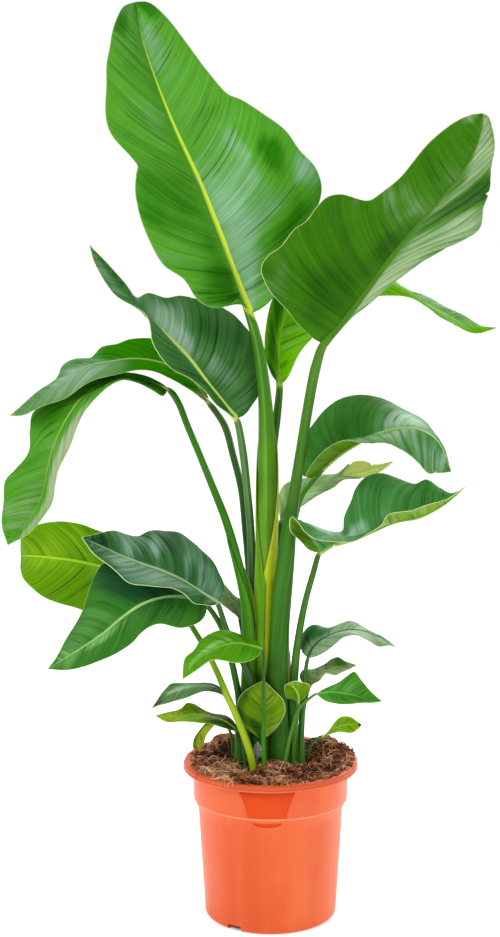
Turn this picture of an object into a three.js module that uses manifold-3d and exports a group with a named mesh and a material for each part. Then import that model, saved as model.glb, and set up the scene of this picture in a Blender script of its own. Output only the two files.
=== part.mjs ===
// A bird of paradise plant in an orange nursery pot.
// Millimetres, +Z up. The origin is the middle of the pot's base, and -Y is the front.
import * as THREE from 'three';
import { mergeVertices } from 'three/addons/utils/BufferGeometryUtils.js';
import Module from 'manifold-3d';

const wasm = await Module();
wasm.setup();

// Pot
const POT_HEIGHT = 192;
const RIM_RADIUS = 106.5;
const RIM_LIP = 8.5;
const COLLAR_RADIUS = 94;
const COLLAR_FOOT = 146;
const SHOULDER_RADIUS = 93;
const SHOULDER_DROP = 14;
const BODY_TOP_RADIUS = 88;
const BODY_FOOT_RADIUS = 80.5;
const FOOT_ROUNDING = 5;
const FOOT_RING_RADIUS = 77;
const FOOT_RING_WIDTH = 4;
const WALL = 1.8;
const FLOOR_LIFT = 4;
const BOSS_RADIUS = 9;
const ROUND_STEPS = 36;

// Drain notches in the foot ring, and the two shallow panels in the front
const NOTCH_COUNT = 3;
const FIRST_NOTCH_ANGLE = -33;
const NOTCH_WIDTH = 19;
const NOTCH_HEIGHT = 8;
const PANEL_DEPTH = 0.6;
const PANEL_CENTRE_X = -4;
const PANEL_TOP_HALF = 34;
const PANEL_FOOT_HALF = 23;
const PANEL_TOP = 181.5;
const TAB_HALF_WIDTH = 17;
const TAB_TOP = 142;
const TAB_DROP = 6;

// Soil
const GAP = 0.3;
const SOIL_EDGE_HEIGHT = 189;
const SOIL_RINGS = 8;
const SOIL_MOUNDS = [
  { x: -58, y: 40, height: 18, spread: 34 },
  { x: 68, y: 34, height: 18, spread: 32 },
  { x: 4, y: 66, height: 8, spread: 30 },
  { x: -2, y: -14, height: 3, spread: 40 },
];
const SOIL_RELIEF = 1.6;
const HOLE_CLEARANCE = 0.45;

// Leaves
const BLADE_THICKNESS = 1.2;
const KEEL_SHARE = 0.36;
const KEEL_SLOPE = 1.3;
const VEIN_SLANT = 0.7;
const BLADE_BULGE = 0.05;
const RIPPLE = 1.8;
const RIPPLE_LENGTH = 78;
const GOLDEN_ANGLE = 2.399963;
const STEM_REACH = 0.1;
const STEM_STEP = 40;

const GREENS = {
  fresh: 0x5f9a2c,
  deep: 0x3c7327,
  blue: 0x47805a,
  olive: 0x8a9a34,
  young: 0xa9bd3a,
  dry: 0xa98d5c,
};

// Each leaf has its stem's path from inside the soil up, as x, y, z and width, then the midrib's path,
// and the left and right margins from base to tip. Left is the left hand with the tip up, as seen from
// the front, and upper is 1 where that view shows the upper face. Larger leaves have more strips.
const LEAVES = [
  {
    name: 'leaf_tall', green: 'fresh', strips: 3, rowLength: 27, upper: 1,
    stem: [[-9, 4, 150, 22], [-9, 4, 190, 22], [-9, 4, 265, 22], [-7, 4, 390, 22], [-4, 4, 487, 25],
      [-4, 4, 570, 22], [-7, 3, 637, 16], [-15, 0, 697, 13]],
    rib: [[-24, -4, 731], [-52, -12, 808], [-82, -10, 884], [-119, 6, 966], [-150, 38, 1050],
      [-161, 64, 1100]],
    left: [[-35, -12, 752], [-45, -30, 747], [-64, -48, 742], [-83, -60, 752], [-98, -66, 775],
      [-123, -72, 793], [-141, -76, 831], [-153, -74, 873], [-151, -72, 893], [-149, -66, 903],
      [-156, -60, 912], [-180, -54, 936], [-187, -44, 970], [-187, -26, 1012], [-184, 6, 1054],
      [-174, 40, 1090]],
    right: [[-1, -12, 748], [11, -6, 766], [29, 2, 799], [46, 6, 836], [60, 6, 878], [53, 4, 903],
      [34, 0, 923], [17, -8, 946], [-10, -14, 965], [-33, -8, 980], [-51, 2, 989], [-72, 12, 1013],
      [-98, 24, 1048], [-122, 38, 1079], [-144, 54, 1098]],
  },
  {
    name: 'leaf_upper_right', green: 'deep', strips: 3, rowLength: 27, upper: -1,
    stem: [[12, -14, 150, 22], [12, -14, 190, 22], [8, -14, 270, 22], [10, -14, 344, 21],
      [14, -14, 405, 20], [21, -16, 466, 17], [28, -20, 520, 14], [36, -26, 575, 12.5],
      [44, -34, 628, 12], [52, -44, 672, 12]],
    rib: [[60, -52, 699], [91, -66, 738], [125, -78, 785], [158, -88, 828], [191, -98, 867],
      [214, -104, 897], [228, -108, 928], [233, -110, 958]],
    left: [[48, -56, 709], [32, -62, 724], [14, -68, 745], [-3, -72, 766], [-11, -70, 788],
      [-3, -68, 802], [12, -66, 813], [27, -64, 832], [40, -62, 841], [52, -64, 857], [64, -66, 868],
      [79, -68, 871], [109, -68, 864], [124, -70, 872], [142, -76, 886], [159, -84, 907],
      [179, -92, 930], [200, -100, 947], [219, -106, 956]],
    right: [[75, -50, 711], [95, -40, 732], [116, -30, 747], [143, -18, 769], [170, -10, 791],
      [200, -4, 806], [226, -2, 821], [245, -6, 835], [248, -18, 857], [251, -36, 884],
      [252, -60, 916], [248, -82, 941], [241, -98, 954]],
  },
  {
    name: 'leaf_behind_right', green: 'olive', strips: 2, rowLength: 27, upper: 1,
    stem: [[2, 24, 150, 14], [2, 24, 190, 14], [6, 26, 259, 14], [4, 28, 384, 13], [3, 30, 508, 12],
      [3, 32, 569, 11], [8, 34, 611, 10]],
    rib: [[11, 36, 644], [8, 44, 679], [13, 56, 718], [38, 78, 764], [81, 98, 788], [127, 104, 779],
      [167, 98, 755], [206, 90, 735], [242, 80, 717], [277, 72, 713]],
    left: [[-1, 40, 663], [-7, 40, 689], [-5, 44, 722], [3, 56, 751], [37, 92, 808], [86, 118, 822],
      [127, 124, 795], [162, 116, 765], [199, 104, 747], [234, 90, 730], [260, 80, 715]],
    right: [[21, 30, 656], [35, 28, 685], [53, 34, 706], [78, 52, 735], [110, 68, 748],
      [141, 78, 753], [171, 78, 748], [196, 74, 737], [209, 68, 725], [229, 66, 714], [253, 68, 707]],
  },
  {
    name: 'leaf_upper_left', green: 'blue', strips: 2, rowLength: 25, upper: 1,
    stem: [[-22, 20, 150, 13], [-22, 20, 190, 13], [-20, 19, 262, 13], [-20, 18, 337, 12],
      [-22, 15, 413, 11], [-24, 10, 475, 10], [-28, 4, 524, 9.5], [-33, -2, 572, 9.5]],
    rib: [[-40, -8, 609], [-57, -18, 631], [-77, -28, 658], [-96, -36, 684], [-116, -42, 705],
      [-137, -46, 727], [-156, -50, 749], [-178, -56, 778], [-206, -64, 815]],
    left: [[-50, -16, 617], [-65, -30, 630], [-77, -42, 647], [-93, -52, 662], [-113, -60, 672],
      [-126, -66, 686], [-134, -68, 704], [-137, -62, 722], [-143, -56, 733], [-159, -56, 745],
      [-177, -60, 758], [-190, -63, 774], [-200, -66, 794]],
    right: [[-29, 2, 615], [-17, 14, 630], [-5, 28, 659], [-8, 34, 691], [-25, 32, 710],
      [-42, 26, 731], [-62, 14, 743], [-83, 0, 750], [-104, -12, 756], [-123, -22, 753],
      [-142, -32, 759], [-153, -42, 755], [-167, -50, 771], [-186, -58, 794]],
  },
  {
    name: 'leaf_left_arching', green: 'deep', strips: 2, rowLength: 25, upper: 1,
    stem: [[-26, 36, 150, 12], [-26, 36, 190, 12], [-21, 34, 257, 12], [-22, 33, 333, 11],
      [-25, 31, 409, 10], [-30, 28, 471, 9.5], [-35, 24, 521, 9], [-45, 20, 564, 9], [-55, 15, 600, 9]],
    rib: [[-73, 10, 627], [-93, 6, 653], [-121, 2, 672], [-154, -2, 680], [-186, -8, 678],
      [-217, -14, 672], [-243, -20, 656], [-270, -26, 636], [-305, -34, 616]],
    left: [[-80, 0, 632], [-95, -12, 645], [-117, -26, 659], [-140, -34, 668], [-165, -40, 669],
      [-191, -44, 663], [-214, -46, 653], [-240, -46, 638], [-266, -44, 627], [-288, -42, 618]],
    right: [[-77, 20, 639], [-90, 34, 662], [-112, 44, 688], [-139, 46, 702], [-167, 42, 702],
      [-186, 36, 694], [-203, 28, 692], [-215, 18, 682], [-232, 10, 679], [-246, 2, 671],
      [-252, -6, 660], [-270, -16, 646], [-290, -26, 629]],
  },
  {
    name: 'leaf_left_hanging', green: 'fresh', strips: 2, rowLength: 25, upper: 1,
    stem: [[-28, -5, 150, 15], [-28, -5, 190, 15], [-27, -6, 267, 15], [-26, -7, 330, 14],
      [-29, -8, 391, 13], [-39, -9, 440, 12], [-53, -8, 489, 11], [-67, -6, 525, 10], [-84, -3, 567, 9],
      [-99, 1, 603, 9], [-110, 4, 630, 9]],
    rib: [[-121, 5, 644], [-142, 0, 652], [-167, -8, 660], [-193, -20, 654], [-217, -34, 639],
      [-235, -48, 615], [-249, -60, 586], [-256, -70, 558], [-262, -80, 528], [-276, -90, 502],
      [-300, -98, 474]],
    left: [[-127, -8, 637], [-140, -24, 646], [-156, -38, 655], [-171, -48, 659], [-187, -58, 653],
      [-199, -68, 642], [-210, -78, 627], [-221, -88, 606], [-230, -96, 585], [-244, -106, 543],
      [-250, -108, 520], [-263, -108, 500], [-283, -104, 484]],
    right: [[-131, 12, 651], [-155, 20, 660], [-185, 22, 662], [-222, 16, 653], [-257, 4, 634],
      [-281, -10, 619], [-282, -22, 596], [-282, -36, 578], [-297, -50, 555], [-307, -62, 542],
      [-308, -74, 520], [-308, -86, 495]],
  },
  {
    name: 'leaf_right_arching', green: 'fresh', strips: 2, rowLength: 22, upper: 1,
    stem: [[19, 9, 150, 11], [19, 9, 190, 11], [19, 10, 263, 11], [18, 12, 337, 10], [19, 14, 412, 9],
      [24, 16, 461, 8.5], [30, 15, 490, 8], [37, 11, 515, 8], [49, 6, 532, 7.5]],
    rib: [[62, 2, 548], [77, 0, 562], [95, -3, 575], [112, -8, 585], [132, -14, 594], [155, -20, 600],
      [175, -28, 599], [195, -34, 587], [211, -40, 551]],
    left: [[47, 8, 537], [37, 16, 541], [36, 28, 562], [41, 38, 583], [53, 46, 599], [69, 50, 617],
      [85, 50, 629], [104, 48, 634], [127, 42, 631], [150, 34, 624], [174, 22, 611], [193, 6, 595],
      [204, -12, 578]],
    right: [[52, -6, 539], [42, -16, 542], [48, -32, 559], [65, -46, 578], [86, -56, 589],
      [106, -62, 589], [132, -66, 587], [147, -66, 581], [161, -66, 574], [171, -64, 565],
      [182, -60, 552], [195, -52, 551]],
  },
  {
    name: 'leaf_right_narrow', green: 'olive', strips: 2, rowLength: 18, upper: 1,
    stem: [[12, 42, 150, 9], [12, 42, 190, 9], [11, 44, 253, 9], [11, 46, 329, 8], [10, 46, 405, 8],
      [11, 46, 450, 8]],
    rib: [[13, 44, 478], [24, 44, 499], [42, 42, 513], [64, 38, 525], [90, 34, 537], [120, 28, 544],
      [148, 20, 555]],
    left: [[10, 50, 491], [10, 56, 510], [19, 60, 523], [40, 60, 528], [63, 56, 535], [85, 50, 539],
      [97, 44, 549], [111, 38, 554], [128, 30, 551]],
    right: [[19, 36, 486], [29, 32, 493], [41, 28, 501], [57, 24, 512], [75, 20, 524], [87, 20, 534],
      [108, 18, 534], [129, 16, 542]],
  },
  {
    name: 'leaf_right_boat', green: 'deep', strips: 2, rowLength: 18, upper: 1,
    stem: [[30, -7, 150, 12], [30, -7, 190, 12], [27, -9, 268, 12], [29, -11, 306, 10.5],
      [34, -13, 350, 9], [42, -16, 393, 8], [51, -19, 427, 7.5]],
    rib: [[58, -22, 451], [76, -28, 462], [100, -34, 470], [123, -38, 481], [146, -40, 491],
      [175, -42, 497], [204, -44, 513], [228, -44, 534]],
    left: [[46, -26, 459], [36, -32, 474], [31, -36, 492], [44, -26, 488], [65, -12, 478],
      [86, -2, 474], [89, 6, 489], [96, 12, 507], [102, 16, 524], [114, 18, 536], [134, 16, 541],
      [155, 8, 537], [173, 0, 531], [186, -8, 537], [200, -20, 530], [214, -34, 525]],
    right: [[45, -32, 457], [35, -40, 469], [23, -44, 482], [24, -46, 500], [32, -48, 493],
      [40, -52, 482], [55, -56, 472], [75, -60, 471], [95, -64, 474], [113, -66, 482], [128, -68, 490],
      [136, -68, 505], [148, -66, 509], [167, -64, 510], [187, -60, 516], [209, -52, 523]],
  },
  {
    name: 'leaf_left_blue', green: 'blue', strips: 2, rowLength: 18, upper: 1,
    stem: [[-16, -17, 150, 11], [-16, -17, 190, 11], [-16, -18, 264, 11], [-21, -20, 289, 10],
      [-29, -22, 311, 9], [-41, -25, 334, 8], [-52, -29, 359, 7.5]],
    rib: [[-63, -34, 393], [-83, -40, 408], [-103, -44, 422], [-124, -48, 433], [-147, -54, 443],
      [-172, -60, 454], [-196, -66, 467], [-219, -72, 479]],
    left: [[-68, -44, 392], [-78, -56, 396], [-89, -66, 400], [-100, -74, 413], [-114, -80, 420],
      [-130, -84, 422], [-146, -88, 426], [-162, -90, 430], [-177, -90, 441], [-192, -86, 452],
      [-206, -80, 464]],
    right: [[-58, -28, 398], [-55, -18, 411], [-61, -8, 424], [-69, 0, 437], [-83, 6, 449],
      [-97, 10, 461], [-109, 10, 471], [-127, 6, 474], [-144, -2, 474], [-158, -14, 470],
      [-169, -24, 475], [-183, -38, 481], [-199, -54, 481]],
  },
  {
    name: 'leaf_left_young', green: 'young', strips: 2, rowLength: 22, upper: -1,
    stem: [[-20, -43, 150, 9], [-20, -43, 190, 9], [-26, -45, 218, 9], [-39, -46, 255, 8.5],
      [-51, -44, 282, 8], [-66, -30, 313, 7.5], [-81, -16, 338, 7], [-97, -2, 361, 7]],
    rib: [[-119, 12, 395], [-146, 18, 408], [-177, 24, 419], [-210, 32, 426], [-245, 42, 431],
      [-280, 56, 432], [-304, 74, 430], [-314, 94, 426]],
    left: [[-124, 8, 381], [-146, 12, 366], [-177, 16, 360], [-208, 22, 363], [-233, 30, 371],
      [-262, 42, 377], [-286, 54, 385], [-305, 68, 398], [-313, 84, 411]],
    right: [[-134, 22, 417], [-159, 32, 444], [-190, 40, 462], [-211, 44, 467], [-233, 50, 474],
      [-260, 58, 476], [-287, 68, 471], [-309, 80, 458], [-314, 90, 441]],
  },
  {
    name: 'leaf_left_pointed', green: 'fresh', strips: 2, rowLength: 22, upper: 1,
    stem: [[-40, -14, 150, 9], [-40, -14, 190, 9], [-38, -13, 268, 9], [-43, -14, 300, 8.5],
      [-50, -17, 332, 8], [-58, -21, 360, 7.5]],
    rib: [[-76, -26, 389], [-93, -34, 399], [-113, -42, 403], [-134, -48, 401], [-153, -52, 394],
      [-173, -56, 381], [-194, -60, 364], [-218, -64, 348], [-261, -70, 322]],
    left: [[-76, -36, 383], [-81, -46, 375], [-92, -52, 370], [-106, -56, 368], [-129, -60, 374],
      [-141, -62, 371], [-152, -64, 363], [-161, -66, 353], [-176, -68, 343], [-196, -72, 334],
      [-217, -74, 326], [-239, -74, 322]],
    right: [[-81, -20, 399], [-102, -16, 413], [-132, -18, 420], [-161, -22, 431], [-181, -28, 442],
      [-198, -32, 441], [-207, -36, 429], [-213, -40, 413], [-220, -44, 392], [-231, -50, 370],
      [-243, -58, 350], [-252, -66, 334]],
  },
  {
    name: 'leaf_small_front', green: 'young', strips: 2, rowLength: 13, upper: 1,
    stem: [[-7, -46, 150, 5.5], [-7, -46, 190, 5.5], [-8, -48, 230, 5.5], [-8, -49, 279, 4.5],
      [-8, -51, 316, 4]],
    rib: [[-9, -52, 342], [-24, -58, 348], [-42, -64, 352], [-59, -70, 349], [-76, -74, 341],
      [-90, -76, 330], [-103, -76, 311]],
    left: [[-15, -60, 335], [-26, -68, 331], [-40, -76, 331], [-54, -80, 334], [-68, -82, 335],
      [-82, -82, 327], [-94, -80, 318]],
    right: [[-15, -46, 349], [-27, -42, 353], [-41, -42, 359], [-55, -44, 362], [-70, -50, 360],
      [-83, -56, 354], [-91, -62, 343], [-100, -68, 334]],
  },
  {
    name: 'leaf_small_left_high', green: 'deep', strips: 2, rowLength: 13, upper: 1,
    stem: [[-30, -36, 150, 4.5], [-30, -36, 190, 4.5], [-32, -34, 215, 4.5], [-36, -31, 240, 4],
      [-44, -28, 257, 4]],
    rib: [[-55, -27, 278], [-64, -34, 290], [-80, -42, 294], [-98, -48, 294], [-115, -54, 290],
      [-128, -56, 282], [-141, -58, 271]],
    left: [[-65, -50, 288], [-79, -58, 291], [-95, -64, 288], [-111, -66, 284], [-123, -66, 279],
      [-133, -62, 275]],
    right: [[-59, -28, 288], [-70, -30, 294], [-89, -34, 296], [-105, -38, 298], [-118, -42, 298],
      [-126, -48, 290], [-134, -54, 280]],
  },
  {
    name: 'leaf_small_left_low', green: 'olive', strips: 2, rowLength: 13, upper: 1,
    stem: [[-36, -23, 150, 7], [-36, -23, 190, 7], [-35, -24, 213, 6]],
    rib: [[-41, -27, 235], [-53, -32, 247], [-70, -38, 255], [-89, -42, 259], [-108, -46, 259],
      [-137, -52, 261]],
    left: [[-46, -36, 238], [-58, -46, 245], [-72, -52, 252], [-88, -56, 254], [-107, -58, 254],
      [-122, -56, 254]],
    right: [[-44, -18, 244], [-54, -14, 251], [-70, -18, 255], [-82, -26, 261], [-92, -30, 268],
      [-100, -34, 271], [-107, -38, 266], [-122, -46, 264]],
  },
  {
    name: 'leaf_small_rim', green: 'olive', strips: 1, rowLength: 10, upper: 1,
    stem: [[-46, 6, 150, 4], [-46, 6, 190, 4], [-48, 4, 221, 3.5], [-55, 0, 234, 3]],
    rib: [[-66, -4, 238], [-77, -10, 236], [-85, -16, 229], [-90, -20, 219], [-90, -24, 209]],
    left: [[-72, -2, 230], [-78, -6, 222], [-82, -12, 214], [-86, -18, 208]],
    right: [[-76, -14, 242], [-86, -22, 236], [-93, -26, 226], [-93, -28, 215]],
  },
  {
    name: 'leaf_small_cupped', green: 'young', strips: 2, rowLength: 12, upper: 1,
    stem: [[-10, -29, 150, 6], [-10, -29, 190, 6], [-10, -30, 212, 5]],
    rib: [[-10, -31, 226], [-10, -30, 247], [-9, -29, 267], [-8, -29, 293]],
    left: [[-20, -34, 233], [-32, -36, 247], [-40, -37, 264], [-38, -35, 280], [-27, -33, 290],
      [-16, -31, 293]],
    right: [[-1, -36, 233], [9, -40, 245], [16, -42, 265], [14, -38, 278], [4, -34, 287]],
  },
  {
    name: 'leaf_small_right', green: 'deep', strips: 2, rowLength: 12, upper: 1,
    stem: [[17, -37, 150, 4.5], [17, -37, 190, 4.5], [22, -40, 225, 4.5], [27, -42, 247, 4],
      [34, -44, 267, 4]],
    rib: [[54, -46, 286], [73, -47, 288], [95, -48, 285], [114, -48, 280], [133, -47, 277]],
    left: [[66, -38, 291], [81, -33, 297], [91, -32, 304], [100, -35, 310], [108, -40, 301],
      [120, -45, 288]],
    right: [[64, -54, 280], [78, -60, 278], [94, -62, 277], [113, -57, 277]],
  },
  {
    name: 'leaf_small_scoop', green: 'deep', strips: 1, rowLength: 8, upper: -1,
    stem: [[27, -27, 150, 4.5], [27, -27, 190, 4.5], [29, -28, 230, 4.5], [32, -28, 251, 4]],
    rib: [[34, -29, 270], [33, -33, 282], [27, -36, 292], [21, -36, 296]],
    left: [[27, -29, 275], [19, -29, 276], [16, -31, 287], [17, -34, 293]],
    right: [[41, -30, 277], [48, -32, 286], [46, -36, 294], [38, -39, 298], [29, -38, 300]],
  },
  {
    name: 'leaf_small_right_high', green: 'fresh', strips: 2, rowLength: 13, upper: 1,
    stem: [[38, -22, 150, 8], [38, -22, 190, 8], [37, -21, 220, 8], [38, -20, 257, 7],
      [40, -17, 290, 5.5]],
    rib: [[45, -13, 321], [52, -13, 335], [67, -14, 347], [86, -17, 355], [105, -20, 357],
      [124, -24, 352], [140, -28, 343], [151, -30, 338]],
    left: [[38, -5, 327], [37, 4, 339], [42, 10, 351], [52, 13, 357], [70, 10, 354], [87, 6, 359],
      [99, 2, 362], [115, -6, 357], [130, -16, 351], [142, -24, 344]],
    right: [[54, -18, 324], [65, -24, 331], [76, -30, 342], [87, -34, 352], [102, -36, 353],
      [116, -36, 347], [129, -36, 341], [141, -34, 342]],
  },
  {
    name: 'leaf_small_twisted', green: 'olive', strips: 2, rowLength: 10, upper: 1,
    stem: [[38, 12, 150, 5], [38, 12, 190, 5], [39, 12, 218, 5], [42, 9, 257, 4]],
    rib: [[49, 6, 283], [63, 4, 297], [77, 2, 305], [92, 0, 308], [105, -2, 310]],
    left: [[41, 14, 282], [35, 20, 289], [39, 24, 297], [53, 20, 299], [67, 14, 306], [74, 10, 314],
      [82, 6, 318], [90, 2, 314]],
    right: [[59, -2, 290], [67, -8, 300], [79, -10, 298], [90, -8, 303]],
  },
  {
    name: 'leaf_small_soil', green: 'fresh', strips: 1, rowLength: 9, upper: 1,
    stem: [[46, -1, 150, 4], [46, -1, 190, 4], [47, -2, 206, 3.5], [53, -2, 215, 3]],
    rib: [[64, -2, 220], [77, -4, 231], [90, -6, 236], [111, -8, 237]],
    left: [[74, 2, 229], [81, 4, 238], [88, 2, 244], [98, -2, 245], [105, -6, 241]],
    right: [[73, -8, 225], [85, -12, 229], [98, -12, 228], [106, -10, 232]],
  },
  {
    name: 'leaf_small_hidden', green: 'olive', strips: 2, rowLength: 12, upper: 1,
    stem: [[-34, 16, 150, 8], [-34, 16, 190, 8], [-33, 14, 262, 8], [-32, 13, 312, 7],
      [-33, 13, 339, 6]],
    rib: [[-37, 14, 362], [-41, 14, 377], [-50, 14, 389], [-65, 12, 402], [-86, 8, 415]],
    left: [[-42, 6, 369], [-54, 4, 380], [-66, 2, 392], [-78, 2, 404]],
    right: [[-30, 18, 371], [-32, 22, 382], [-45, 24, 392], [-59, 22, 405], [-73, 16, 413]],
  },
  {
    name: 'dry_sheath', green: 'dry', strips: 1, rowLength: 6, upper: 1,
    stem: [[-22, -29, 150, 5], [-22, -29, 185, 5], [-21, -30, 196, 4]],
    rib: [[-21, -31, 203], [-21, -31, 212], [-22, -32, 221]],
    left: [[-25, -29, 207], [-25, -29, 215]],
    right: [[-17, -33, 206], [-17, -34, 214]],
  },
];

// Closed three.js geometry to a solid, and back
function toSolid(geometry) {
  geometry.deleteAttribute('normal');
  geometry.deleteAttribute('uv');
  const welded = mergeVertices(geometry, 1e-4);
  const corners = welded.index.array;
  const triangles = [];
  for (let i = 0; i < corners.length; i += 3) {
    const [a, b, c] = [corners[i], corners[i + 1], corners[i + 2]];
    if (a !== b && b !== c && c !== a) triangles.push(a, b, c);
  }
  return new wasm.Manifold(new wasm.Mesh({
    numProp: 3,
    vertProperties: new Float32Array(welded.attributes.position.array),
    triVerts: new Uint32Array(triangles),
  }));
}

function toMesh(solid, name, material) {
  const { vertProperties, triVerts } = solid.getMesh();
  const geometry = new THREE.BufferGeometry();
  geometry.setAttribute('position', new THREE.BufferAttribute(vertProperties, 3));
  geometry.setIndex(new THREE.BufferAttribute(triVerts, 1));
  const mesh = new THREE.Mesh(geometry, material);
  mesh.name = name;
  return mesh;
}

// Rings of points, all with the same count, skinned into a closed tube with flat ends
function skinRings(rings) {
  const sides = rings[0].length;
  const positions = rings.flat().flatMap((point) => point.toArray());
  const triangles = [];
  for (let ring = 0; ring + 1 < rings.length; ring += 1) {
    for (let side = 0; side < sides; side += 1) {
      const a = ring * sides + side;
      const b = ring * sides + (side + 1) % sides;
      triangles.push(a, b, b + sides, a, b + sides, a + sides);
    }
  }
  const last = (rings.length - 1) * sides;
  for (let side = 1; side + 1 < sides; side += 1) {
    triangles.push(0, side + 1, side, last, last + side, last + side + 1);
  }
  const geometry = new THREE.BufferGeometry();
  geometry.setAttribute('position', new THREE.Float32BufferAttribute(positions, 3));
  geometry.setIndex(triangles);
  return geometry;
}

function turned(profile) {
  const points = profile.map(([radius, height]) => new THREE.Vector2(radius, height));
  const geometry = new THREE.LatheGeometry(points, ROUND_STEPS);
  geometry.rotateX(Math.PI / 2);
  return toSolid(geometry);
}

// A flat outline in x and z, drawn out along y from the front
function frontPrism(outline, depth) {
  const shape = new THREE.Shape(outline.map(([x, z]) => new THREE.Vector2(x, z)));
  const geometry = new THREE.ExtrudeGeometry(shape, { depth, bevelEnabled: false });
  geometry.rotateX(Math.PI / 2);
  return toSolid(geometry);
}

function quarterRound(centreRadius, centreHeight, radius, from, to, steps) {
  return Array.from({ length: steps + 1 }, (_, step) => {
    const angle = THREE.MathUtils.degToRad(from + (to - from) * step / steps);
    return [centreRadius + radius * Math.cos(angle), centreHeight + radius * Math.sin(angle)];
  });
}

const rimMiddle = POT_HEIGHT - RIM_LIP / 2;
const collarTopRadius = COLLAR_RADIUS + 1;
const footCentre = BODY_FOOT_RADIUS - FOOT_ROUNDING;

function potOutside() {
  return [
    [BOSS_RADIUS, 0],
    [BOSS_RADIUS + 1, FLOOR_LIFT],
    [FOOT_RING_RADIUS - FOOT_RING_WIDTH - 1, FLOOR_LIFT],
    [FOOT_RING_RADIUS - FOOT_RING_WIDTH, 0],
    ...quarterRound(footCentre, FOOT_ROUNDING, FOOT_ROUNDING, -74, 0, 4),
    [BODY_TOP_RADIUS, COLLAR_FOOT - SHOULDER_DROP],
    [SHOULDER_RADIUS, COLLAR_FOOT],
    [COLLAR_RADIUS, COLLAR_FOOT + 1.5],
    [collarTopRadius, POT_HEIGHT - RIM_LIP],
    [RIM_RADIUS - 1.2, POT_HEIGHT - RIM_LIP],
    ...quarterRound(RIM_RADIUS - RIM_LIP / 2, rimMiddle, RIM_LIP / 2, -50, 90, 4),
  ];
}

// The inner wall, from the top down to the floor's corner, grown or shrunk by an offset
function potInside(offset) {
  return [
    [collarTopRadius - WALL - offset, POT_HEIGHT - 1.5],
    [COLLAR_RADIUS - WALL - offset, COLLAR_FOOT + 1.5],
    [SHOULDER_RADIUS - WALL - offset, COLLAR_FOOT - 0.7],
    [BODY_TOP_RADIUS - WALL - offset, COLLAR_FOOT - SHOULDER_DROP - 0.7],
    [BODY_FOOT_RADIUS + 0.3 - WALL - offset, FOOT_ROUNDING + 3],
    [footCentre + 3 - offset, FLOOR_LIFT + WALL + offset],
  ];
}

function makePot() {
  const profile = [
    [0, 0],
    ...potOutside(),
    [collarTopRadius - WALL + 1.5, POT_HEIGHT],
    ...potInside(0),
    [0, FLOOR_LIFT + WALL],
  ];
  let pot = turned(profile);
  for (let notch = 0; notch < NOTCH_COUNT; notch += 1) {
    const box = new THREE.BoxGeometry(NOTCH_WIDTH, 22, NOTCH_HEIGHT);
    box.translate(0, -FOOT_RING_RADIUS, NOTCH_HEIGHT / 2 - 1);
    box.rotateZ(THREE.MathUtils.degToRad(FIRST_NOTCH_ANGLE + notch * 360 / NOTCH_COUNT));
    pot = pot.subtract(toSolid(box));
  }
  const inPanel = turned([[0, 0], [COLLAR_RADIUS - PANEL_DEPTH - 0.6, 0],
    [COLLAR_RADIUS - PANEL_DEPTH - 0.6, COLLAR_FOOT], [collarTopRadius - PANEL_DEPTH - 0.3, PANEL_TOP + 9],
    [0, PANEL_TOP + 9]]);
  const panel = frontPrism([
    [PANEL_CENTRE_X - PANEL_FOOT_HALF, COLLAR_FOOT + 2],
    [PANEL_CENTRE_X + PANEL_FOOT_HALF, COLLAR_FOOT + 2],
    [PANEL_CENTRE_X + PANEL_TOP_HALF, PANEL_TOP],
    [PANEL_CENTRE_X - PANEL_TOP_HALF, PANEL_TOP],
  ], 120);
  pot = pot.subtract(panel.subtract(inPanel));
  const tabOutline = Array.from({ length: 7 }, (_, step) => {
    const along = step / 3 - 1;
    return [PANEL_CENTRE_X + TAB_HALF_WIDTH * along, TAB_TOP - TAB_DROP * (1 - along * along)];
  });
  const inTab = turned([[0, COLLAR_FOOT - SHOULDER_DROP],
    [BODY_TOP_RADIUS - PANEL_DEPTH, COLLAR_FOOT - SHOULDER_DROP],
    [SHOULDER_RADIUS - PANEL_DEPTH, COLLAR_FOOT], [0, COLLAR_FOOT]]);
  return pot.subtract(frontPrism(tabOutline, 120).subtract(inTab));
}

// Height of the soil: mounds beside the stems, and crumbly relief that dies out at the wall
function soilHeight(x, y, wallShare) {
  let height = SOIL_EDGE_HEIGHT;
  for (const mound of SOIL_MOUNDS) {
    const distance = Math.hypot(x - mound.x, y - mound.y) / mound.spread;
    height += mound.height * Math.exp(-distance * distance) * (1 - wallShare ** 12);
  }
  const relief = Math.sin(x * 0.41 + y * 0.23) * Math.cos(y * 0.37 - x * 0.11)
    + 0.6 * Math.sin(x * 0.93 - y * 0.71);
  return height + SOIL_RELIEF * relief * (1 - wallShare ** 6);
}

function makeSoil(stemTubes) {
  const wall = potInside(GAP);
  const topRadius = wall[0][0] - 0.2;
  const ringAt = (radius, heightAt) => Array.from({ length: ROUND_STEPS }, (_, step) => {
    const angle = step / ROUND_STEPS * 2 * Math.PI;
    const [x, y] = [radius * Math.sin(angle), radius * Math.cos(angle)];
    return new THREE.Vector3(x, y, heightAt(x, y));
  });
  const rings = wall.slice(1).reverse().map(([radius, height]) => ringAt(radius, () => height));
  for (let ring = SOIL_RINGS; ring > 0; ring -= 1) {
    const share = ring / SOIL_RINGS;
    rings.push(ringAt(topRadius * share, (x, y) => soilHeight(x, y, share)));
  }
  rings.push(ringAt(1, () => soilHeight(0, 0, 0)));
  rings.forEach((ring) => ring.reverse());
  let soil = toSolid(skinRings(rings));
  for (const tube of stemTubes) soil = soil.subtract(tube);
  return soil;
}

function smoothCurve(points) {
  const vectors = points.map(([x, y, z]) => new THREE.Vector3(x, y, z));
  return new THREE.CatmullRomCurve3(vectors, false, 'centripetal');
}

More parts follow.
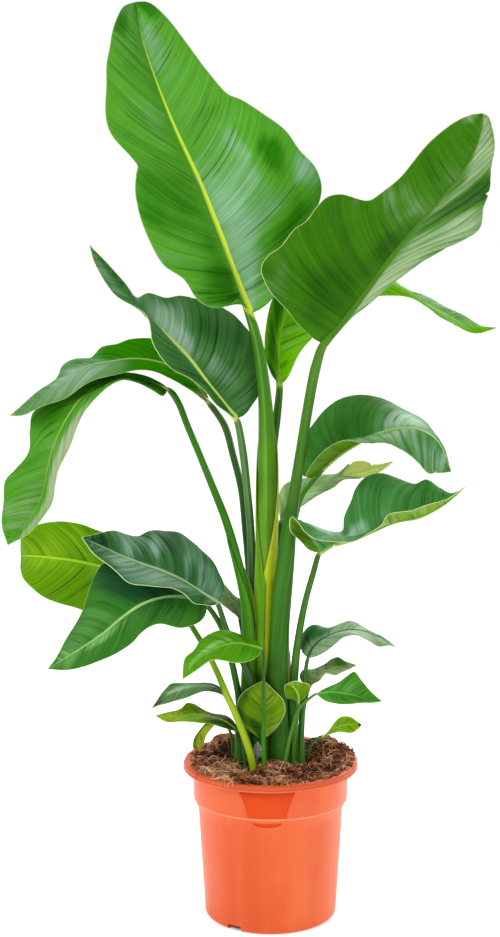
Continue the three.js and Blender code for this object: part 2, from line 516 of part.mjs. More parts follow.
// Width along a path whose points carry one, by the share of the path's length
function widthAlong(points, curve, share) {
  const target = share * curve.getLength();
  let walked = 0;
  for (let i = 0; i + 1 < points.length; i += 1) {
    const [from, to] = [points[i], points[i + 1]];
    const reach = Math.hypot(to[0] - from[0], to[1] - from[1], to[2] - from[2]);
    if (walked + reach >= target) return from[3] + (to[3] - from[3]) * (target - walked) / reach;
    walked += reach;
  }
  return points.at(-1)[3];
}

// The stem, whose top is sunk a little way under the blade's midrib
function stemTube(leaf, clearance) {
  const rib = smoothCurve(leaf.rib);
  const stemEnd = leaf.stem.at(-1)[3];
  const path = [...leaf.stem, [...leaf.rib[0], stemEnd * 0.8],
    [...rib.getPointAt(STEM_REACH).toArray(), stemEnd * 0.5]];
  const curve = smoothCurve(path);
  const steps = Math.max(6, Math.round(curve.getLength() / STEM_STEP));
  const frames = curve.computeFrenetFrames(steps, false);
  const sides = stemEnd > 7 ? 8 : 6;
  const rings = frames.normals.map((normal, step) => {
    const centre = curve.getPointAt(step / steps);
    const radius = widthAlong(path, curve, step / steps) / 2 + clearance;
    return Array.from({ length: sides }, (_, side) => {
      const angle = side / sides * 2 * Math.PI;
      return centre.clone()
        .addScaledVector(normal, radius * Math.cos(angle))
        .addScaledVector(frames.binormals[step], radius * Math.sin(angle));
    });
  });
  if (clearance > 0) rings[0].forEach((point) => point.setZ(point.z - clearance));
  return toSolid(skinRings(rings));
}

// Depth of the midrib's keel under the blade, which thins out towards the tip
function keelDepth(leaf, share) {
  return KEEL_SHARE * leaf.stem.at(-1)[3] * (1 - share);
}

// One row of points over half the blade, from beside the midrib out to the margin
function halfRow(leaf, middle, forward, reach, side, share, ripple) {
  const normal = reach.clone().cross(forward).multiplyScalar(side * leaf.upper).normalize();
  const keelEdge = Math.min(0.3, KEEL_SLOPE * (keelDepth(leaf, share) + 0.5) / reach.length());
  return Array.from({ length: leaf.strips + 1 }, (_, strip) => {
    const out = keelEdge + (1 - keelEdge) * strip / leaf.strips;
    const bulge = BLADE_BULGE * reach.length() * 4 * out * (1 - out);
    const lift = bulge + ripple * out * out * Math.sin(Math.PI * share);
    return middle.clone().addScaledVector(reach, out).addScaledVector(normal, lift);
  });
}

// Rows of points over the blade, from the left margin over the midrib to the right margin
function bladeRows(leaf, order, shares) {
  const rib = smoothCurve(leaf.rib);
  const [base, tip] = [leaf.rib[0], leaf.rib.at(-1)];
  const margins = [smoothCurve([base, ...leaf.left, tip]), smoothCurve([base, ...leaf.right, tip])];
  return shares.map((share) => {
    const middle = rib.getPointAt(share);
    const forward = rib.getTangentAt(share);
    const [left, right] = margins.map((margin, half) => {
      const reach = margin.getPointAt(share ** VEIN_SLANT).sub(middle);
      const turn = order * GOLDEN_ANGLE + half + 2 * Math.PI * margin.getLength() * share / RIPPLE_LENGTH;
      return halfRow(leaf, middle, forward, reach, half * 2 - 1, share, RIPPLE * Math.sin(turn));
    });
    return [...left.reverse(), middle, ...right];
  });
}

// Unit normals of the rows' surface, from each point's neighbours
function rowNormals(rows) {
  return rows.map((row, i) => row.map((_, j) => {
    const before = rows[Math.max(0, i - 1)][j];
    const after = rows[Math.min(rows.length - 1, i + 1)][j];
    const side = row[Math.min(row.length - 1, j + 1)].clone().sub(row[Math.max(0, j - 1)]);
    return side.cross(after.clone().sub(before)).normalize();
  }));
}

// The blade as a thin closed sheet whose two faces are split alike, with a keel along the midrib
function bladeSheet(leaf, order) {
  const rib = smoothCurve(leaf.rib);
  const rowCount = Math.max(4, Math.round(rib.getLength() / leaf.rowLength));
  const shares = Array.from({ length: rowCount + 1 }, (_, row) => (
    Math.min(0.985, Math.max(0.012, row / rowCount))));
  const rows = bladeRows(leaf, order, shares);
  const normals = rowNormals(rows);
  const across = rows[0].length;
  const centre = leaf.strips + 1;
  const face = (direction) => rows.map((row, i) => row.map((point, j) => {
    const keel = j === centre && direction !== leaf.upper ? keelDepth(leaf, shares[i]) : 0;
    return point.clone().addScaledVector(normals[i][j], direction * (BLADE_THICKNESS / 2 + keel));
  }));
  const points = [...face(1), ...face(-1)].flat();
  const size = rows.length * across;
  const triangles = [];
  for (let i = 0; i + 1 < rows.length; i += 1) {
    for (let j = 0; j + 1 < across; j += 1) {
      const a = i * across + j;
      const [b, c, d] = [a + 1, a + across + 1, a + across];
      triangles.push(a, b, c, a, c, d);
      triangles.push(a + size, c + size, b + size, a + size, d + size, c + size);
    }
  }
  const edge = [];
  for (let j = 0; j < across; j += 1) edge.push(j);
  for (let i = 1; i < rows.length; i += 1) edge.push(i * across + across - 1);
  for (let j = across - 2; j >= 0; j -= 1) edge.push((rows.length - 1) * across + j);
  for (let i = rows.length - 2; i > 0; i -= 1) edge.push(i * across);
  edge.forEach((a, index) => {
    const b = edge[(index + 1) % edge.length];
    triangles.push(a, a + size, b + size, a, b + size, b);
  });
  const geometry = new THREE.BufferGeometry();
  geometry.setAttribute('position', new THREE.Float32BufferAttribute(
    points.flatMap((point) => point.toArray()), 3));
  geometry.setIndex(triangles);
  return toSolid(geometry);
}

function material(color, roughness) {
  return new THREE.MeshStandardMaterial({ color, roughness, metalness: 0 });
}

const plant = new THREE.Group();
plant.name = 'potted_bird_of_paradise';
plant.add(toMesh(makePot(), 'pot', material(0xf2703c, 0.4)));
plant.add(toMesh(makeSoil(LEAVES.map((leaf) => stemTube(leaf, HOLE_CLEARANCE))), 'soil',
  material(0x3a2a1e, 0.95)));
LEAVES.forEach((leaf, order) => {
  const solid = stemTube(leaf, 0).add(bladeSheet(leaf, order));
  plant.add(toMesh(solid, leaf.name, material(GREENS[leaf.green], 0.45)));
});

export default plant;
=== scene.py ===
# %% [markdown]
# # A bird of paradise plant in an orange nursery pot
#
# The plant is a fan of leaves on long stems. A leaf is a stem, a midrib and two half-blades whose
# veins run side by side out to the margin. The CAD model holds each leaf, the soil and the pot at
# their real size. This lesson builds a finer piece in each one's place, in metres and in the same
# frame, and gives it its finish.

# %% Frame and libraries
import math
import random
import bmesh
import bpy
import numpy as np
from mathutils import Matrix, Vector, noise


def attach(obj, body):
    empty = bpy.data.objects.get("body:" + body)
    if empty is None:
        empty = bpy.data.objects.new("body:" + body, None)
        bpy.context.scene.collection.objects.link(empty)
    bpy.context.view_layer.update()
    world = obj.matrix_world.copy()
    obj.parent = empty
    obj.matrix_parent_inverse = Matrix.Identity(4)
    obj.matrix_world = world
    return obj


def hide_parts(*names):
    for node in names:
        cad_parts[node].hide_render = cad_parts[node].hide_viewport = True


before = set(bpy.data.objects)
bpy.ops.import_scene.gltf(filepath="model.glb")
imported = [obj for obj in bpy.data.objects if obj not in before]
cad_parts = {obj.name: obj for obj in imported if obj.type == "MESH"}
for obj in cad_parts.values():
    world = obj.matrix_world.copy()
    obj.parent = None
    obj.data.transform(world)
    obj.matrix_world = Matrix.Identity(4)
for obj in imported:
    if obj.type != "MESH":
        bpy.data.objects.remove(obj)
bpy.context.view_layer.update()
MM = 0.001

# %% [markdown]
# ## Camera
#
# The plant is a metre tall and was photographed from about two metres away, a little above its
# middle, with a portrait lens. The camera looks slightly down, so the pot's mouth shows as a
# narrow ellipse. The pot stands a little right of the picture's middle, which is done by a small
# sideways shift, so the camera still looks straight along the plant.

# %% Camera
CAMERA_DISTANCE = 2.0
CAMERA_HEIGHT = 0.82
CAMERA_PITCH = 7.7
LENS = 65
SENSOR = 36
PICTURE_HEIGHT = 937
POT_RIGHT_OF_MIDDLE = 20.5


def placed(name, data):
    """A new object in the scene, from its mesh, camera or lamp."""
    made = bpy.data.objects.new(name, data)
    bpy.context.collection.objects.link(made)
    return made


camera_data = bpy.data.cameras.new("camera")
camera_data.lens = LENS
camera_data.sensor_width = SENSOR
camera_data.shift_x = -POT_RIGHT_OF_MIDDLE / PICTURE_HEIGHT
camera = placed("camera", camera_data)
camera.location = (0, -CAMERA_DISTANCE, CAMERA_HEIGHT)
camera.rotation_euler = (math.radians(90 - CAMERA_PITCH), 0, 0)
bpy.context.scene.camera = camera
print("camera at", tuple(camera.location))

# %% [markdown]
# ## Materials from nodes
#
# Every finish here is worked out by nodes. The small helpers below add one node and set its
# sockets, so that a material reads as a recipe: where the pattern comes from, how it is mixed and
# which socket of the shader it ends in.

# %% Material helpers
def linear(hex_code):
    """A colour written as RRGGBB, as the linear values that Blender works in."""
    shares = [int(hex_code[i:i + 2], 16) / 255 for i in (0, 2, 4)]
    return tuple(s / 12.92 if s <= 0.04045 else ((s + 0.055) / 1.055) ** 2.4 for s in shares) + (1,)


def start_material(name):
    """A new material with its tree emptied but for the output node."""
    material = bpy.data.materials.new(name)
    material.use_nodes = True
    tree = material.node_tree
    tree.nodes.clear()
    return material, tree, tree.nodes.new("ShaderNodeOutputMaterial")


def add(tree, kind, settings=None, **inputs):
    """Adds a node. An input is a plain value or another node's output. In its name, _ stands for a
    space, and i with a number stands for the socket at that place."""
    node = tree.nodes.new("ShaderNode" + kind)
    for key, value in (settings or {}).items():
        setattr(node, key, value)
    for key, value in inputs.items():
        socket = node.inputs[int(key[1:])] if key[1:].isdigit() else node.inputs[key.replace("_", " ")]
        if isinstance(value, bpy.types.NodeSocket):
            tree.links.new(value, socket)
        else:
            socket.default_value = value
    return node


def mix_colours(tree, share, first, second):
    """A mix of two colours: all first at share 0, all second at share 1."""
    return add(tree, "Mix", {"data_type": "RGBA"}, i0=share, i6=first, i7=second).outputs[2]


def ramp(tree, value, low, high, to_low=0.0, to_high=1.0):
    """Stretches the values from low to high over the values from to_low to to_high, smoothly."""
    node = add(tree, "MapRange", {"interpolation_type": "SMOOTHSTEP"}, Value=value, From_Min=low,
               From_Max=high, To_Min=to_low, To_Max=to_high)
    return node.outputs["Result"]


def sum_of(tree, first, second):
    """Two values added."""
    return add(tree, "Math", {"operation": "ADD"}, i0=first, i1=second).outputs[0]


def product_of(tree, first, second):
    """Two values multiplied."""
    return add(tree, "Math", {"operation": "MULTIPLY"}, i0=first, i1=second).outputs[0]


print("the tint 808080 is", round(linear("808080")[0], 3), "in linear light")

# %% [markdown]
# ## Floor and light
#
# The plant stands in front of a white studio wall, and the side where the camera stands is dimmer.
# So the sky here is white behind the plant and grey in front of it, which keeps the greens deep.
# One large soft lamp at the upper left and in front models the shapes, a second one behind and
# above shines through the thin blades, and a weak one at the right lifts the shade. The floor
# glows a little, as a lit table does, so it stays white to its far edge, but not under the pot,
# where the missing glow paints a soft shadow.

# %% Floor
FLOOR_SIZE = 60
FLOOR_GLOW = 0.42
# Radii over which the glow fades out under the pot, which paints a soft shadow there.
PAINTED_POT_SHADOW = (0.068, 0.08)

floor_mesh = bpy.data.meshes.new("floor")
half = FLOOR_SIZE / 2
corners = [(-half, -half, 0), (half, -half, 0), (half, half, 0), (-half, half, 0)]
floor_mesh.from_pydata(corners, [], [(0, 1, 2, 3)])
floor = placed("floor", floor_mesh)
floor_paint, tree, output = start_material("floor_paint")
painted = add(tree, "BsdfDiffuse", Color=linear("F6F6F6"))
spot = add(tree, "TexCoord").outputs["Object"]
from_middle = add(tree, "VectorMath", {"operation": "LENGTH"}, i0=spot).outputs["Value"]
glow = ramp(tree, from_middle, *PAINTED_POT_SHADOW, 0, FLOOR_GLOW)
glowing = add(tree, "Emission", Color=(1, 1, 1, 1), Strength=glow)
both = add(tree, "AddShader", i0=painted.outputs[0], i1=glowing.outputs[0])
tree.links.new(both.outputs[0], output.inputs["Surface"])
floor_mesh.materials.append(floor_paint)
print("floor", FLOOR_SIZE, "m wide")

# %% Lamps and sky
LAMPS = {
    "key_lamp": {"at": (-1.5, -1.9, 2.3), "size": 1.5, "watts": 55},
    "back_lamp": {"at": (0.9, 1.7, 2.2), "size": 1.8, "watts": 52},
    "fill_lamp": {"at": (2.1, -1.3, 1.1), "size": 1.4, "watts": 14},
}
SKY_BEHIND = 1.02
SKY_IN_FRONT = 0.32
SKY_TURNS = (-0.5, 0.35)
AIM = Vector((0, 0, 0.6))

for name, lamp in LAMPS.items():
    light = bpy.data.lights.new(name, "AREA")
    light.size = lamp["size"]
    light.energy = lamp["watts"]
    shining = placed(name, light)
    shining.location = lamp["at"]
    shining.rotation_euler = (AIM - shining.location).to_track_quat("-Z", "Y").to_euler()

sky = bpy.data.worlds.new("studio")
sky.use_nodes = True
direction = add(sky.node_tree, "TexCoord").outputs["Generated"]
depth = add(sky.node_tree, "SeparateXYZ", Vector=direction).outputs["Y"]
strength = ramp(sky.node_tree, depth, *SKY_TURNS, SKY_IN_FRONT, SKY_BEHIND)
sky.node_tree.links.new(strength, sky.node_tree.nodes["Background"].inputs["Strength"])
sky.node_tree.nodes["Background"].inputs["Color"].default_value = (1, 1, 1, 1)
bpy.context.scene.world = sky
bpy.context.scene.view_settings.view_transform = "Standard"
print("lamps:", ", ".join(LAMPS))

# %% [markdown]
# ## The leaves' paths
#
# A leaf is described by four smooth lines that were measured on the plant: the stem's path, the
# midrib, and the left and right margins. A point is its x, its y, which is larger further back,
# its height, and for a stem the width there. Left is the left hand with the tip up, as seen from
# the front, and upper is 1 where that view shows the leaf's upper face. The paths are those of the
# CAD model, in millimetres, so the fine leaves lie where the solids are. Only two small pieces were
# put right here by a few millimetres: the tip of the cupped leaf is higher, and the dead sheath
# stands further to the right and taller. A stem starts at the height of the soil's edge, and the
# foot below that is added by a rule.

# %% The six leaves of the upper storey
def leaf_of(name, green, upper, **paths):
    """A leaf: its name, its green, which face the front shows, and its paths, whose points are
    parted by commas."""
    parted = {part: [[float(value) for value in point.split()] for point in path.split(",")]
              for part, path in paths.items()}
    return {"name": name, "green": green, "upper": upper, **parted}


UPPER_LEAVES = [
    leaf_of("leaf_tall", "fresh", 1,
        stem="-9 4 190 22, -9 4 265 22, -7 4 390 22, -4 4 487 25, -4 4 570 22, -7 3 637 16, -15 0 697 13",
        rib="-24 -4 731, -52 -12 808, -82 -10 884, -119 6 966, -150 38 1050, -161 64 1100",
        left="-35 -12 752, -45 -30 747, -64 -48 742, -83 -60 752, -98 -66 775, -123 -72 793, -141 -76 831, "
             "-153 -74 873, -151 -72 893, -149 -66 903, -156 -60 912, -180 -54 936, -187 -44 970, "
             "-187 -26 1012, -184 6 1054, -174 40 1090",
        right="-1 -12 748, 11 -6 766, 29 2 799, 46 6 836, 60 6 878, 53 4 903, 34 0 923, 17 -8 946, "
              "-10 -14 965, -33 -8 980, -51 2 989, -72 12 1013, -98 24 1048, -122 38 1079, -144 54 1098"),
    leaf_of("leaf_upper_right", "deep", -1,
        stem="12 -14 190 22, 8 -14 270 22, 10 -14 344 21, 14 -14 405 20, 21 -16 466 17, 28 -20 520 14, "
             "36 -26 575 12.5, 44 -34 628 12, 52 -44 672 12",
        rib="60 -52 699, 91 -66 738, 125 -78 785, 158 -88 828, 191 -98 867, 214 -104 897, 228 -108 928, "
            "233 -110 958",
        left="48 -56 709, 32 -62 724, 14 -68 745, -3 -72 766, -11 -70 788, -3 -68 802, 12 -66 813, "
             "27 -64 832, 40 -62 841, 52 -64 857, 64 -66 868, 79 -68 871, 109 -68 864, 124 -70 872, "
             "142 -76 886, 159 -84 907, 179 -92 930, 200 -100 947, 219 -106 956",
        right="75 -50 711, 95 -40 732, 116 -30 747, 143 -18 769, 170 -10 791, 200 -4 806, 226 -2 821, "
              "245 -6 835, 248 -18 857, 251 -36 884, 252 -60 916, 248 -82 941, 241 -98 954"),
    leaf_of("leaf_behind_right", "olive", 1,
        stem="2 24 190 14, 6 26 259 14, 4 28 384 13, 3 30 508 12, 3 32 569 11, 8 34 611 10",
        rib="11 36 644, 8 44 679, 13 56 718, 38 78 764, 81 98 788, 127 104 779, 167 98 755, 206 90 735, "
            "242 80 717, 277 72 713",
        left="-1 40 663, -7 40 689, -5 44 722, 3 56 751, 37 92 808, 86 118 822, 127 124 795, 162 116 765, "
             "199 104 747, 234 90 730, 260 80 715",
        right="21 30 656, 35 28 685, 53 34 706, 78 52 735, 110 68 748, 141 78 753, 171 78 748, 196 74 737, "
              "209 68 725, 229 66 714, 253 68 707"),
    leaf_of("leaf_upper_left", "blue", 1,
        stem="-22 20 190 13, -20 19 262 13, -20 18 337 12, -22 15 413 11, -24 10 475 10, -28 4 524 9.5, "
             "-33 -2 572 9.5",
        rib="-40 -8 609, -57 -18 631, -77 -28 658, -96 -36 684, -116 -42 705, -137 -46 727, -156 -50 749, "
            "-178 -56 778, -206 -64 815",
        left="-50 -16 617, -65 -30 630, -77 -42 647, -93 -52 662, -113 -60 672, -126 -66 686, "
             "-134 -68 704, -137 -62 722, -143 -56 733, -159 -56 745, -177 -60 758, -190 -63 774, "
             "-200 -66 794",
        right="-29 2 615, -17 14 630, -5 28 659, -8 34 691, -25 32 710, -42 26 731, -62 14 743, -83 0 750, "
              "-104 -12 756, -123 -22 753, -142 -32 759, -153 -42 755, -167 -50 771, -186 -58 794"),
    leaf_of("leaf_left_arching", "deep", 1,
        stem="-26 36 190 12, -21 34 257 12, -22 33 333 11, -25 31 409 10, -30 28 471 9.5, -35 24 521 9, "
             "-45 20 564 9, -55 15 600 9",
        rib="-73 10 627, -93 6 653, -121 2 672, -154 -2 680, -186 -8 678, -217 -14 672, -243 -20 656, "
            "-270 -26 636, -305 -34 616",
        left="-80 0 632, -95 -12 645, -117 -26 659, -140 -34 668, -165 -40 669, -191 -44 663, "
             "-214 -46 653, -240 -46 638, -266 -44 627, -288 -42 618",
        right="-77 20 639, -90 34 662, -112 44 688, -139 46 702, -167 42 702, -186 36 694, -203 28 692, "
              "-215 18 682, -232 10 679, -246 2 671, -252 -6 660, -270 -16 646, -290 -26 629"),
    leaf_of("leaf_left_hanging", "fresh", 1,
        stem="-28 -5 190 15, -27 -6 267 15, -26 -7 330 14, -29 -8 391 13, -39 -9 440 12, -53 -8 489 11, "
             "-67 -6 525 10, -84 -3 567 9, -99 1 603 9, -110 4 630 9",
        rib="-121 5 644, -142 0 652, -167 -8 660, -193 -20 654, -217 -34 639, -235 -48 615, -249 -60 586, "
            "-256 -70 558, -262 -80 528, -276 -90 502, -300 -98 474",
        left="-127 -8 637, -140 -24 646, -156 -38 655, -171 -48 659, -187 -58 653, -199 -68 642, "
             "-210 -78 627, -221 -88 606, -230 -96 585, -244 -106 543, -250 -108 520, -263 -108 500, "
             "-283 -104 484",
        right="-131 12 651, -155 20 660, -185 22 662, -222 16 653, -257 4 634, -281 -10 619, -282 -22 596, "
              "-282 -36 578, -297 -50 555, -307 -62 542, -308 -74 520, -308 -86 495"),
]
print(len(UPPER_LEAVES), "paths")

# %% The six leaves of the middle storey
MIDDLE_LEAVES = [
    leaf_of("leaf_right_arching", "fresh", 1,
        stem="19 9 190 11, 19 10 263 11, 18 12 337 10, 19 14 412 9, 24 16 461 8.5, 30 15 490 8, "
             "37 11 515 8, 49 6 532 7.5",
        rib="62 2 548, 77 0 562, 95 -3 575, 112 -8 585, 132 -14 594, 155 -20 600, 175 -28 599, "
            "195 -34 587, 211 -40 551",
        left="47 8 537, 37 16 541, 36 28 562, 41 38 583, 53 46 599, 69 50 617, 85 50 629, 104 48 634, "
             "127 42 631, 150 34 624, 174 22 611, 193 6 595, 204 -12 578",
        right="52 -6 539, 42 -16 542, 48 -32 559, 65 -46 578, 86 -56 589, 106 -62 589, 132 -66 587, "
              "147 -66 581, 161 -66 574, 171 -64 565, 182 -60 552, 195 -52 551"),
    leaf_of("leaf_right_narrow", "olive", 1,
        stem="12 42 190 9, 11 44 253 9, 11 46 329 8, 10 46 405 8, 11 46 450 8",
        rib="13 44 478, 24 44 499, 42 42 513, 64 38 525, 90 34 537, 120 28 544, 148 20 555",
        left="10 50 491, 10 56 510, 19 60 523, 40 60 528, 63 56 535, 85 50 539, 97 44 549, 111 38 554, "
             "128 30 551",
        right="19 36 486, 29 32 493, 41 28 501, 57 24 512, 75 20 524, 87 20 534, 108 18 534, 129 16 542"),
    leaf_of("leaf_right_boat", "deep", 1,
        stem="30 -7 190 12, 27 -9 268 12, 29 -11 306 10.5, 34 -13 350 9, 42 -16 393 8, 51 -19 427 7.5",
        rib="58 -22 451, 76 -28 462, 100 -34 470, 123 -38 481, 146 -40 491, 175 -42 497, 204 -44 513, "
            "228 -44 534",
        left="46 -26 459, 36 -32 474, 31 -36 492, 44 -26 488, 65 -12 478, 86 -2 474, 89 6 489, 96 12 507, "
             "102 16 524, 114 18 536, 134 16 541, 155 8 537, 173 0 531, 186 -8 537, 200 -20 530, "
             "214 -34 525",
        right="45 -32 457, 35 -40 469, 23 -44 482, 24 -46 500, 32 -48 493, 40 -52 482, 55 -56 472, "
              "75 -60 471, 95 -64 474, 113 -66 482, 128 -68 490, 136 -68 505, 148 -66 509, 167 -64 510, "
              "187 -60 516, 209 -52 523"),
    leaf_of("leaf_left_blue", "blue", 1,
        stem="-16 -17 190 11, -16 -18 264 11, -21 -20 289 10, -29 -22 311 9, -41 -25 334 8, "
             "-52 -29 359 7.5",
        rib="-63 -34 393, -83 -40 408, -103 -44 422, -124 -48 433, -147 -54 443, -172 -60 454, "
            "-196 -66 467, -219 -72 479",
        left="-68 -44 392, -78 -56 396, -89 -66 400, -100 -74 413, -114 -80 420, -130 -84 422, "
             "-146 -88 426, -162 -90 430, -177 -90 441, -192 -86 452, -206 -80 464",
        right="-58 -28 398, -55 -18 411, -61 -8 424, -69 0 437, -83 6 449, -97 10 461, -109 10 471, "
              "-127 6 474, -144 -2 474, -158 -14 470, -169 -24 475, -183 -38 481, -199 -54 481"),
    leaf_of("leaf_left_young", "young", -1,
        stem="-20 -43 190 9, -26 -45 218 9, -39 -46 255 8.5, -51 -44 282 8, -66 -30 313 7.5, "
             "-81 -16 338 7, -97 -2 361 7",
        rib="-119 12 395, -146 18 408, -177 24 419, -210 32 426, -245 42 431, -280 56 432, -304 74 430, "
            "-314 94 426",
        left="-124 8 381, -146 12 366, -177 16 360, -208 22 363, -233 30 371, -262 42 377, -286 54 385, "
             "-305 68 398, -313 84 411",
        right="-134 22 417, -159 32 444, -190 40 462, -211 44 467, -233 50 474, -260 58 476, -287 68 471, "
              "-309 80 458, -314 90 441"),
    leaf_of("leaf_left_pointed", "fresh", 1,
        stem="-40 -14 190 9, -38 -13 268 9, -43 -14 300 8.5, -50 -17 332 8, -58 -21 360 7.5",
        rib="-76 -26 389, -93 -34 399, -113 -42 403, -134 -48 401, -153 -52 394, -173 -56 381, "
            "-194 -60 364, -218 -64 348, -261 -70 322",
        left="-76 -36 383, -81 -46 375, -92 -52 370, -106 -56 368, -129 -60 374, -141 -62 371, "
             "-152 -64 363, -161 -66 353, -176 -68 343, -196 -72 334, -217 -74 326, -239 -74 322",
        right="-81 -20 399, -102 -16 413, -132 -18 420, -161 -22 431, -181 -28 442, -198 -32 441, "
              "-207 -36 429, -213 -40 413, -220 -44 392, -231 -50 370, -243 -58 350, -252 -66 334"),
]
print(len(MIDDLE_LEAVES), "paths")

# %% The small leaves near the soil, and the dead sheath
SMALL_LEAVES = [
    leaf_of("leaf_small_front", "young", 1,
        stem="-7 -46 190 5.5, -8 -48 230 5.5, -8 -49 279 4.5, -8 -51 316 4",
        rib="-9 -52 342, -24 -58 348, -42 -64 352, -59 -70 349, -76 -74 341, -90 -76 330, -103 -76 311",
        left="-15 -60 335, -26 -68 331, -40 -76 331, -54 -80 334, -68 -82 335, -82 -82 327, -94 -80 318",
        right="-15 -46 349, -27 -42 353, -41 -42 359, -55 -44 362, -70 -50 360, -83 -56 354, -91 -62 343, "
              "-100 -68 334"),
    leaf_of("leaf_small_left_high", "deep", 1,
        stem="-30 -36 190 4.5, -32 -34 215 4.5, -36 -31 240 4, -44 -28 257 4",
        rib="-55 -27 278, -64 -34 290, -80 -42 294, -98 -48 294, -115 -54 290, -128 -56 282, -141 -58 271",
        left="-65 -50 288, -79 -58 291, -95 -64 288, -111 -66 284, -123 -66 279, -133 -62 275",
        right="-59 -28 288, -70 -30 294, -89 -34 296, -105 -38 298, -118 -42 298, -126 -48 290, "
              "-134 -54 280"),
    leaf_of("leaf_small_left_low", "olive", 1,
        stem="-36 -23 190 7, -35 -24 213 6",
        rib="-41 -27 235, -53 -32 247, -70 -38 255, -89 -42 259, -108 -46 259, -137 -52 261",
        left="-46 -36 238, -58 -46 245, -72 -52 252, -88 -56 254, -107 -58 254, -122 -56 254",
        right="-44 -18 244, -54 -14 251, -70 -18 255, -82 -26 261, -92 -30 268, -100 -34 271, "
              "-107 -38 266, -122 -46 264"),
    leaf_of("leaf_small_rim", "olive", 1,
        stem="-46 6 190 4, -48 4 221 3.5, -55 0 234 3",
        rib="-66 -4 238, -77 -10 236, -85 -16 229, -90 -20 219, -90 -24 209",
        left="-72 -2 230, -78 -6 222, -82 -12 214, -86 -18 208",
        right="-76 -14 242, -86 -22 236, -93 -26 226, -93 -28 215"),
    leaf_of("leaf_small_cupped", "young", 1,
        stem="-10 -29 190 6, -10 -30 212 5",
        rib="-10 -31 226, -10 -30 247, -9 -29 267, -8 -29 298",
        left="-20 -34 233, -33 -36 247, -40 -37 262, -37 -35 278, -27 -33 289, -16 -31 295",
        right="-1 -36 233, 10 -40 246, 17 -42 264, 15 -38 276, 5 -34 287"),
    leaf_of("leaf_small_right", "deep", 1,
        stem="17 -37 190 4.5, 22 -40 225 4.5, 27 -42 247 4, 34 -44 267 4",
        rib="54 -46 286, 73 -47 288, 95 -48 285, 114 -48 280, 133 -47 277",
        left="66 -38 291, 81 -33 297, 91 -32 304, 100 -35 310, 108 -40 301, 120 -45 288",
        right="64 -54 280, 78 -60 278, 94 -62 277, 113 -57 277"),
    leaf_of("leaf_small_scoop", "deep", -1,
        stem="27 -27 190 4.5, 29 -28 230 4.5, 32 -28 251 4",
        rib="34 -29 270, 33 -33 282, 27 -36 292, 21 -36 296",
        left="27 -29 275, 19 -29 276, 16 -31 287, 17 -34 293",
        right="41 -30 277, 48 -32 286, 46 -36 294, 38 -39 298, 29 -38 300"),
    leaf_of("leaf_small_right_high", "fresh", 1,
        stem="38 -22 190 8, 37 -21 220 8, 38 -20 257 7, 40 -17 290 5.5",
        rib="45 -13 321, 52 -13 335, 67 -14 347, 86 -17 355, 105 -20 357, 124 -24 352, 140 -28 343, "
            "151 -30 338",
        left="38 -5 327, 37 4 339, 42 10 351, 52 13 357, 70 10 354, 87 6 359, 99 2 362, 115 -6 357, "
             "130 -16 351, 142 -24 344",
        right="54 -18 324, 65 -24 331, 76 -30 342, 87 -34 352, 102 -36 353, 116 -36 347, 129 -36 341, "
              "141 -34 342"),
    leaf_of("leaf_small_twisted", "olive", 1,
        stem="38 12 190 5, 39 12 218 5, 42 9 257 4",
        rib="49 6 283, 63 4 297, 77 2 305, 92 0 308, 105 -2 310",
        left="41 14 282, 35 20 289, 39 24 297, 53 20 299, 67 14 306, 74 10 314, 82 6 318, 90 2 314",
        right="59 -2 290, 67 -8 300, 79 -10 298, 90 -8 303"),
    leaf_of("leaf_small_soil", "fresh", 1,
        stem="46 -1 190 4, 47 -2 206 3.5, 53 -2 215 3",
        rib="64 -2 220, 77 -4 231, 90 -6 236, 111 -8 237",
        left="74 2 229, 81 4 238, 88 2 244, 98 -2 245, 105 -6 241",
        right="73 -8 225, 85 -12 229, 98 -12 228, 106 -10 232"),
    leaf_of("leaf_small_hidden", "olive", 1,
        stem="-34 16 190 8, -33 14 262 8, -32 13 312 7, -33 13 339 6",
        rib="-37 14 362, -41 14 377, -50 14 389, -65 12 402, -86 8 415",
        left="-42 6 369, -54 4 380, -66 2 392, -78 2 404",
        right="-30 18 371, -32 22 382, -45 24 392, -59 22 405, -73 16 413"),
    leaf_of("dry_sheath", "dry", 1,
        stem="-20 -29 185 5, -18 -31 196 4",
        rib="-16 -33 203, -15 -34 213, -15 -34 224",
        left="-21 -31 207, -20 -32 217",
        right="-10.5 -35 205, -10 -36 216"),
]
print(len(SMALL_LEAVES), "paths")

# %% [markdown]
# ## Smooth lines
#
# A leaf's lines have to pass through their measured points without overshooting. A centripetal
# Catmull-Rom curve does that, and it is the curve the CAD model uses. It is worked out here as
# many close places, so that a point at any share of the length is a plain interpolation.

# %% Smooth lines
LINE_STEPS = 48
HEADING_STEP = 0.004
LEAST_LENGTH = 1e-9


def unit(vectors):
    """Vectors brought to length 1."""
    return vectors / np.maximum(np.linalg.norm(vectors, axis=-1, keepdims=True), LEAST_LENGTH)


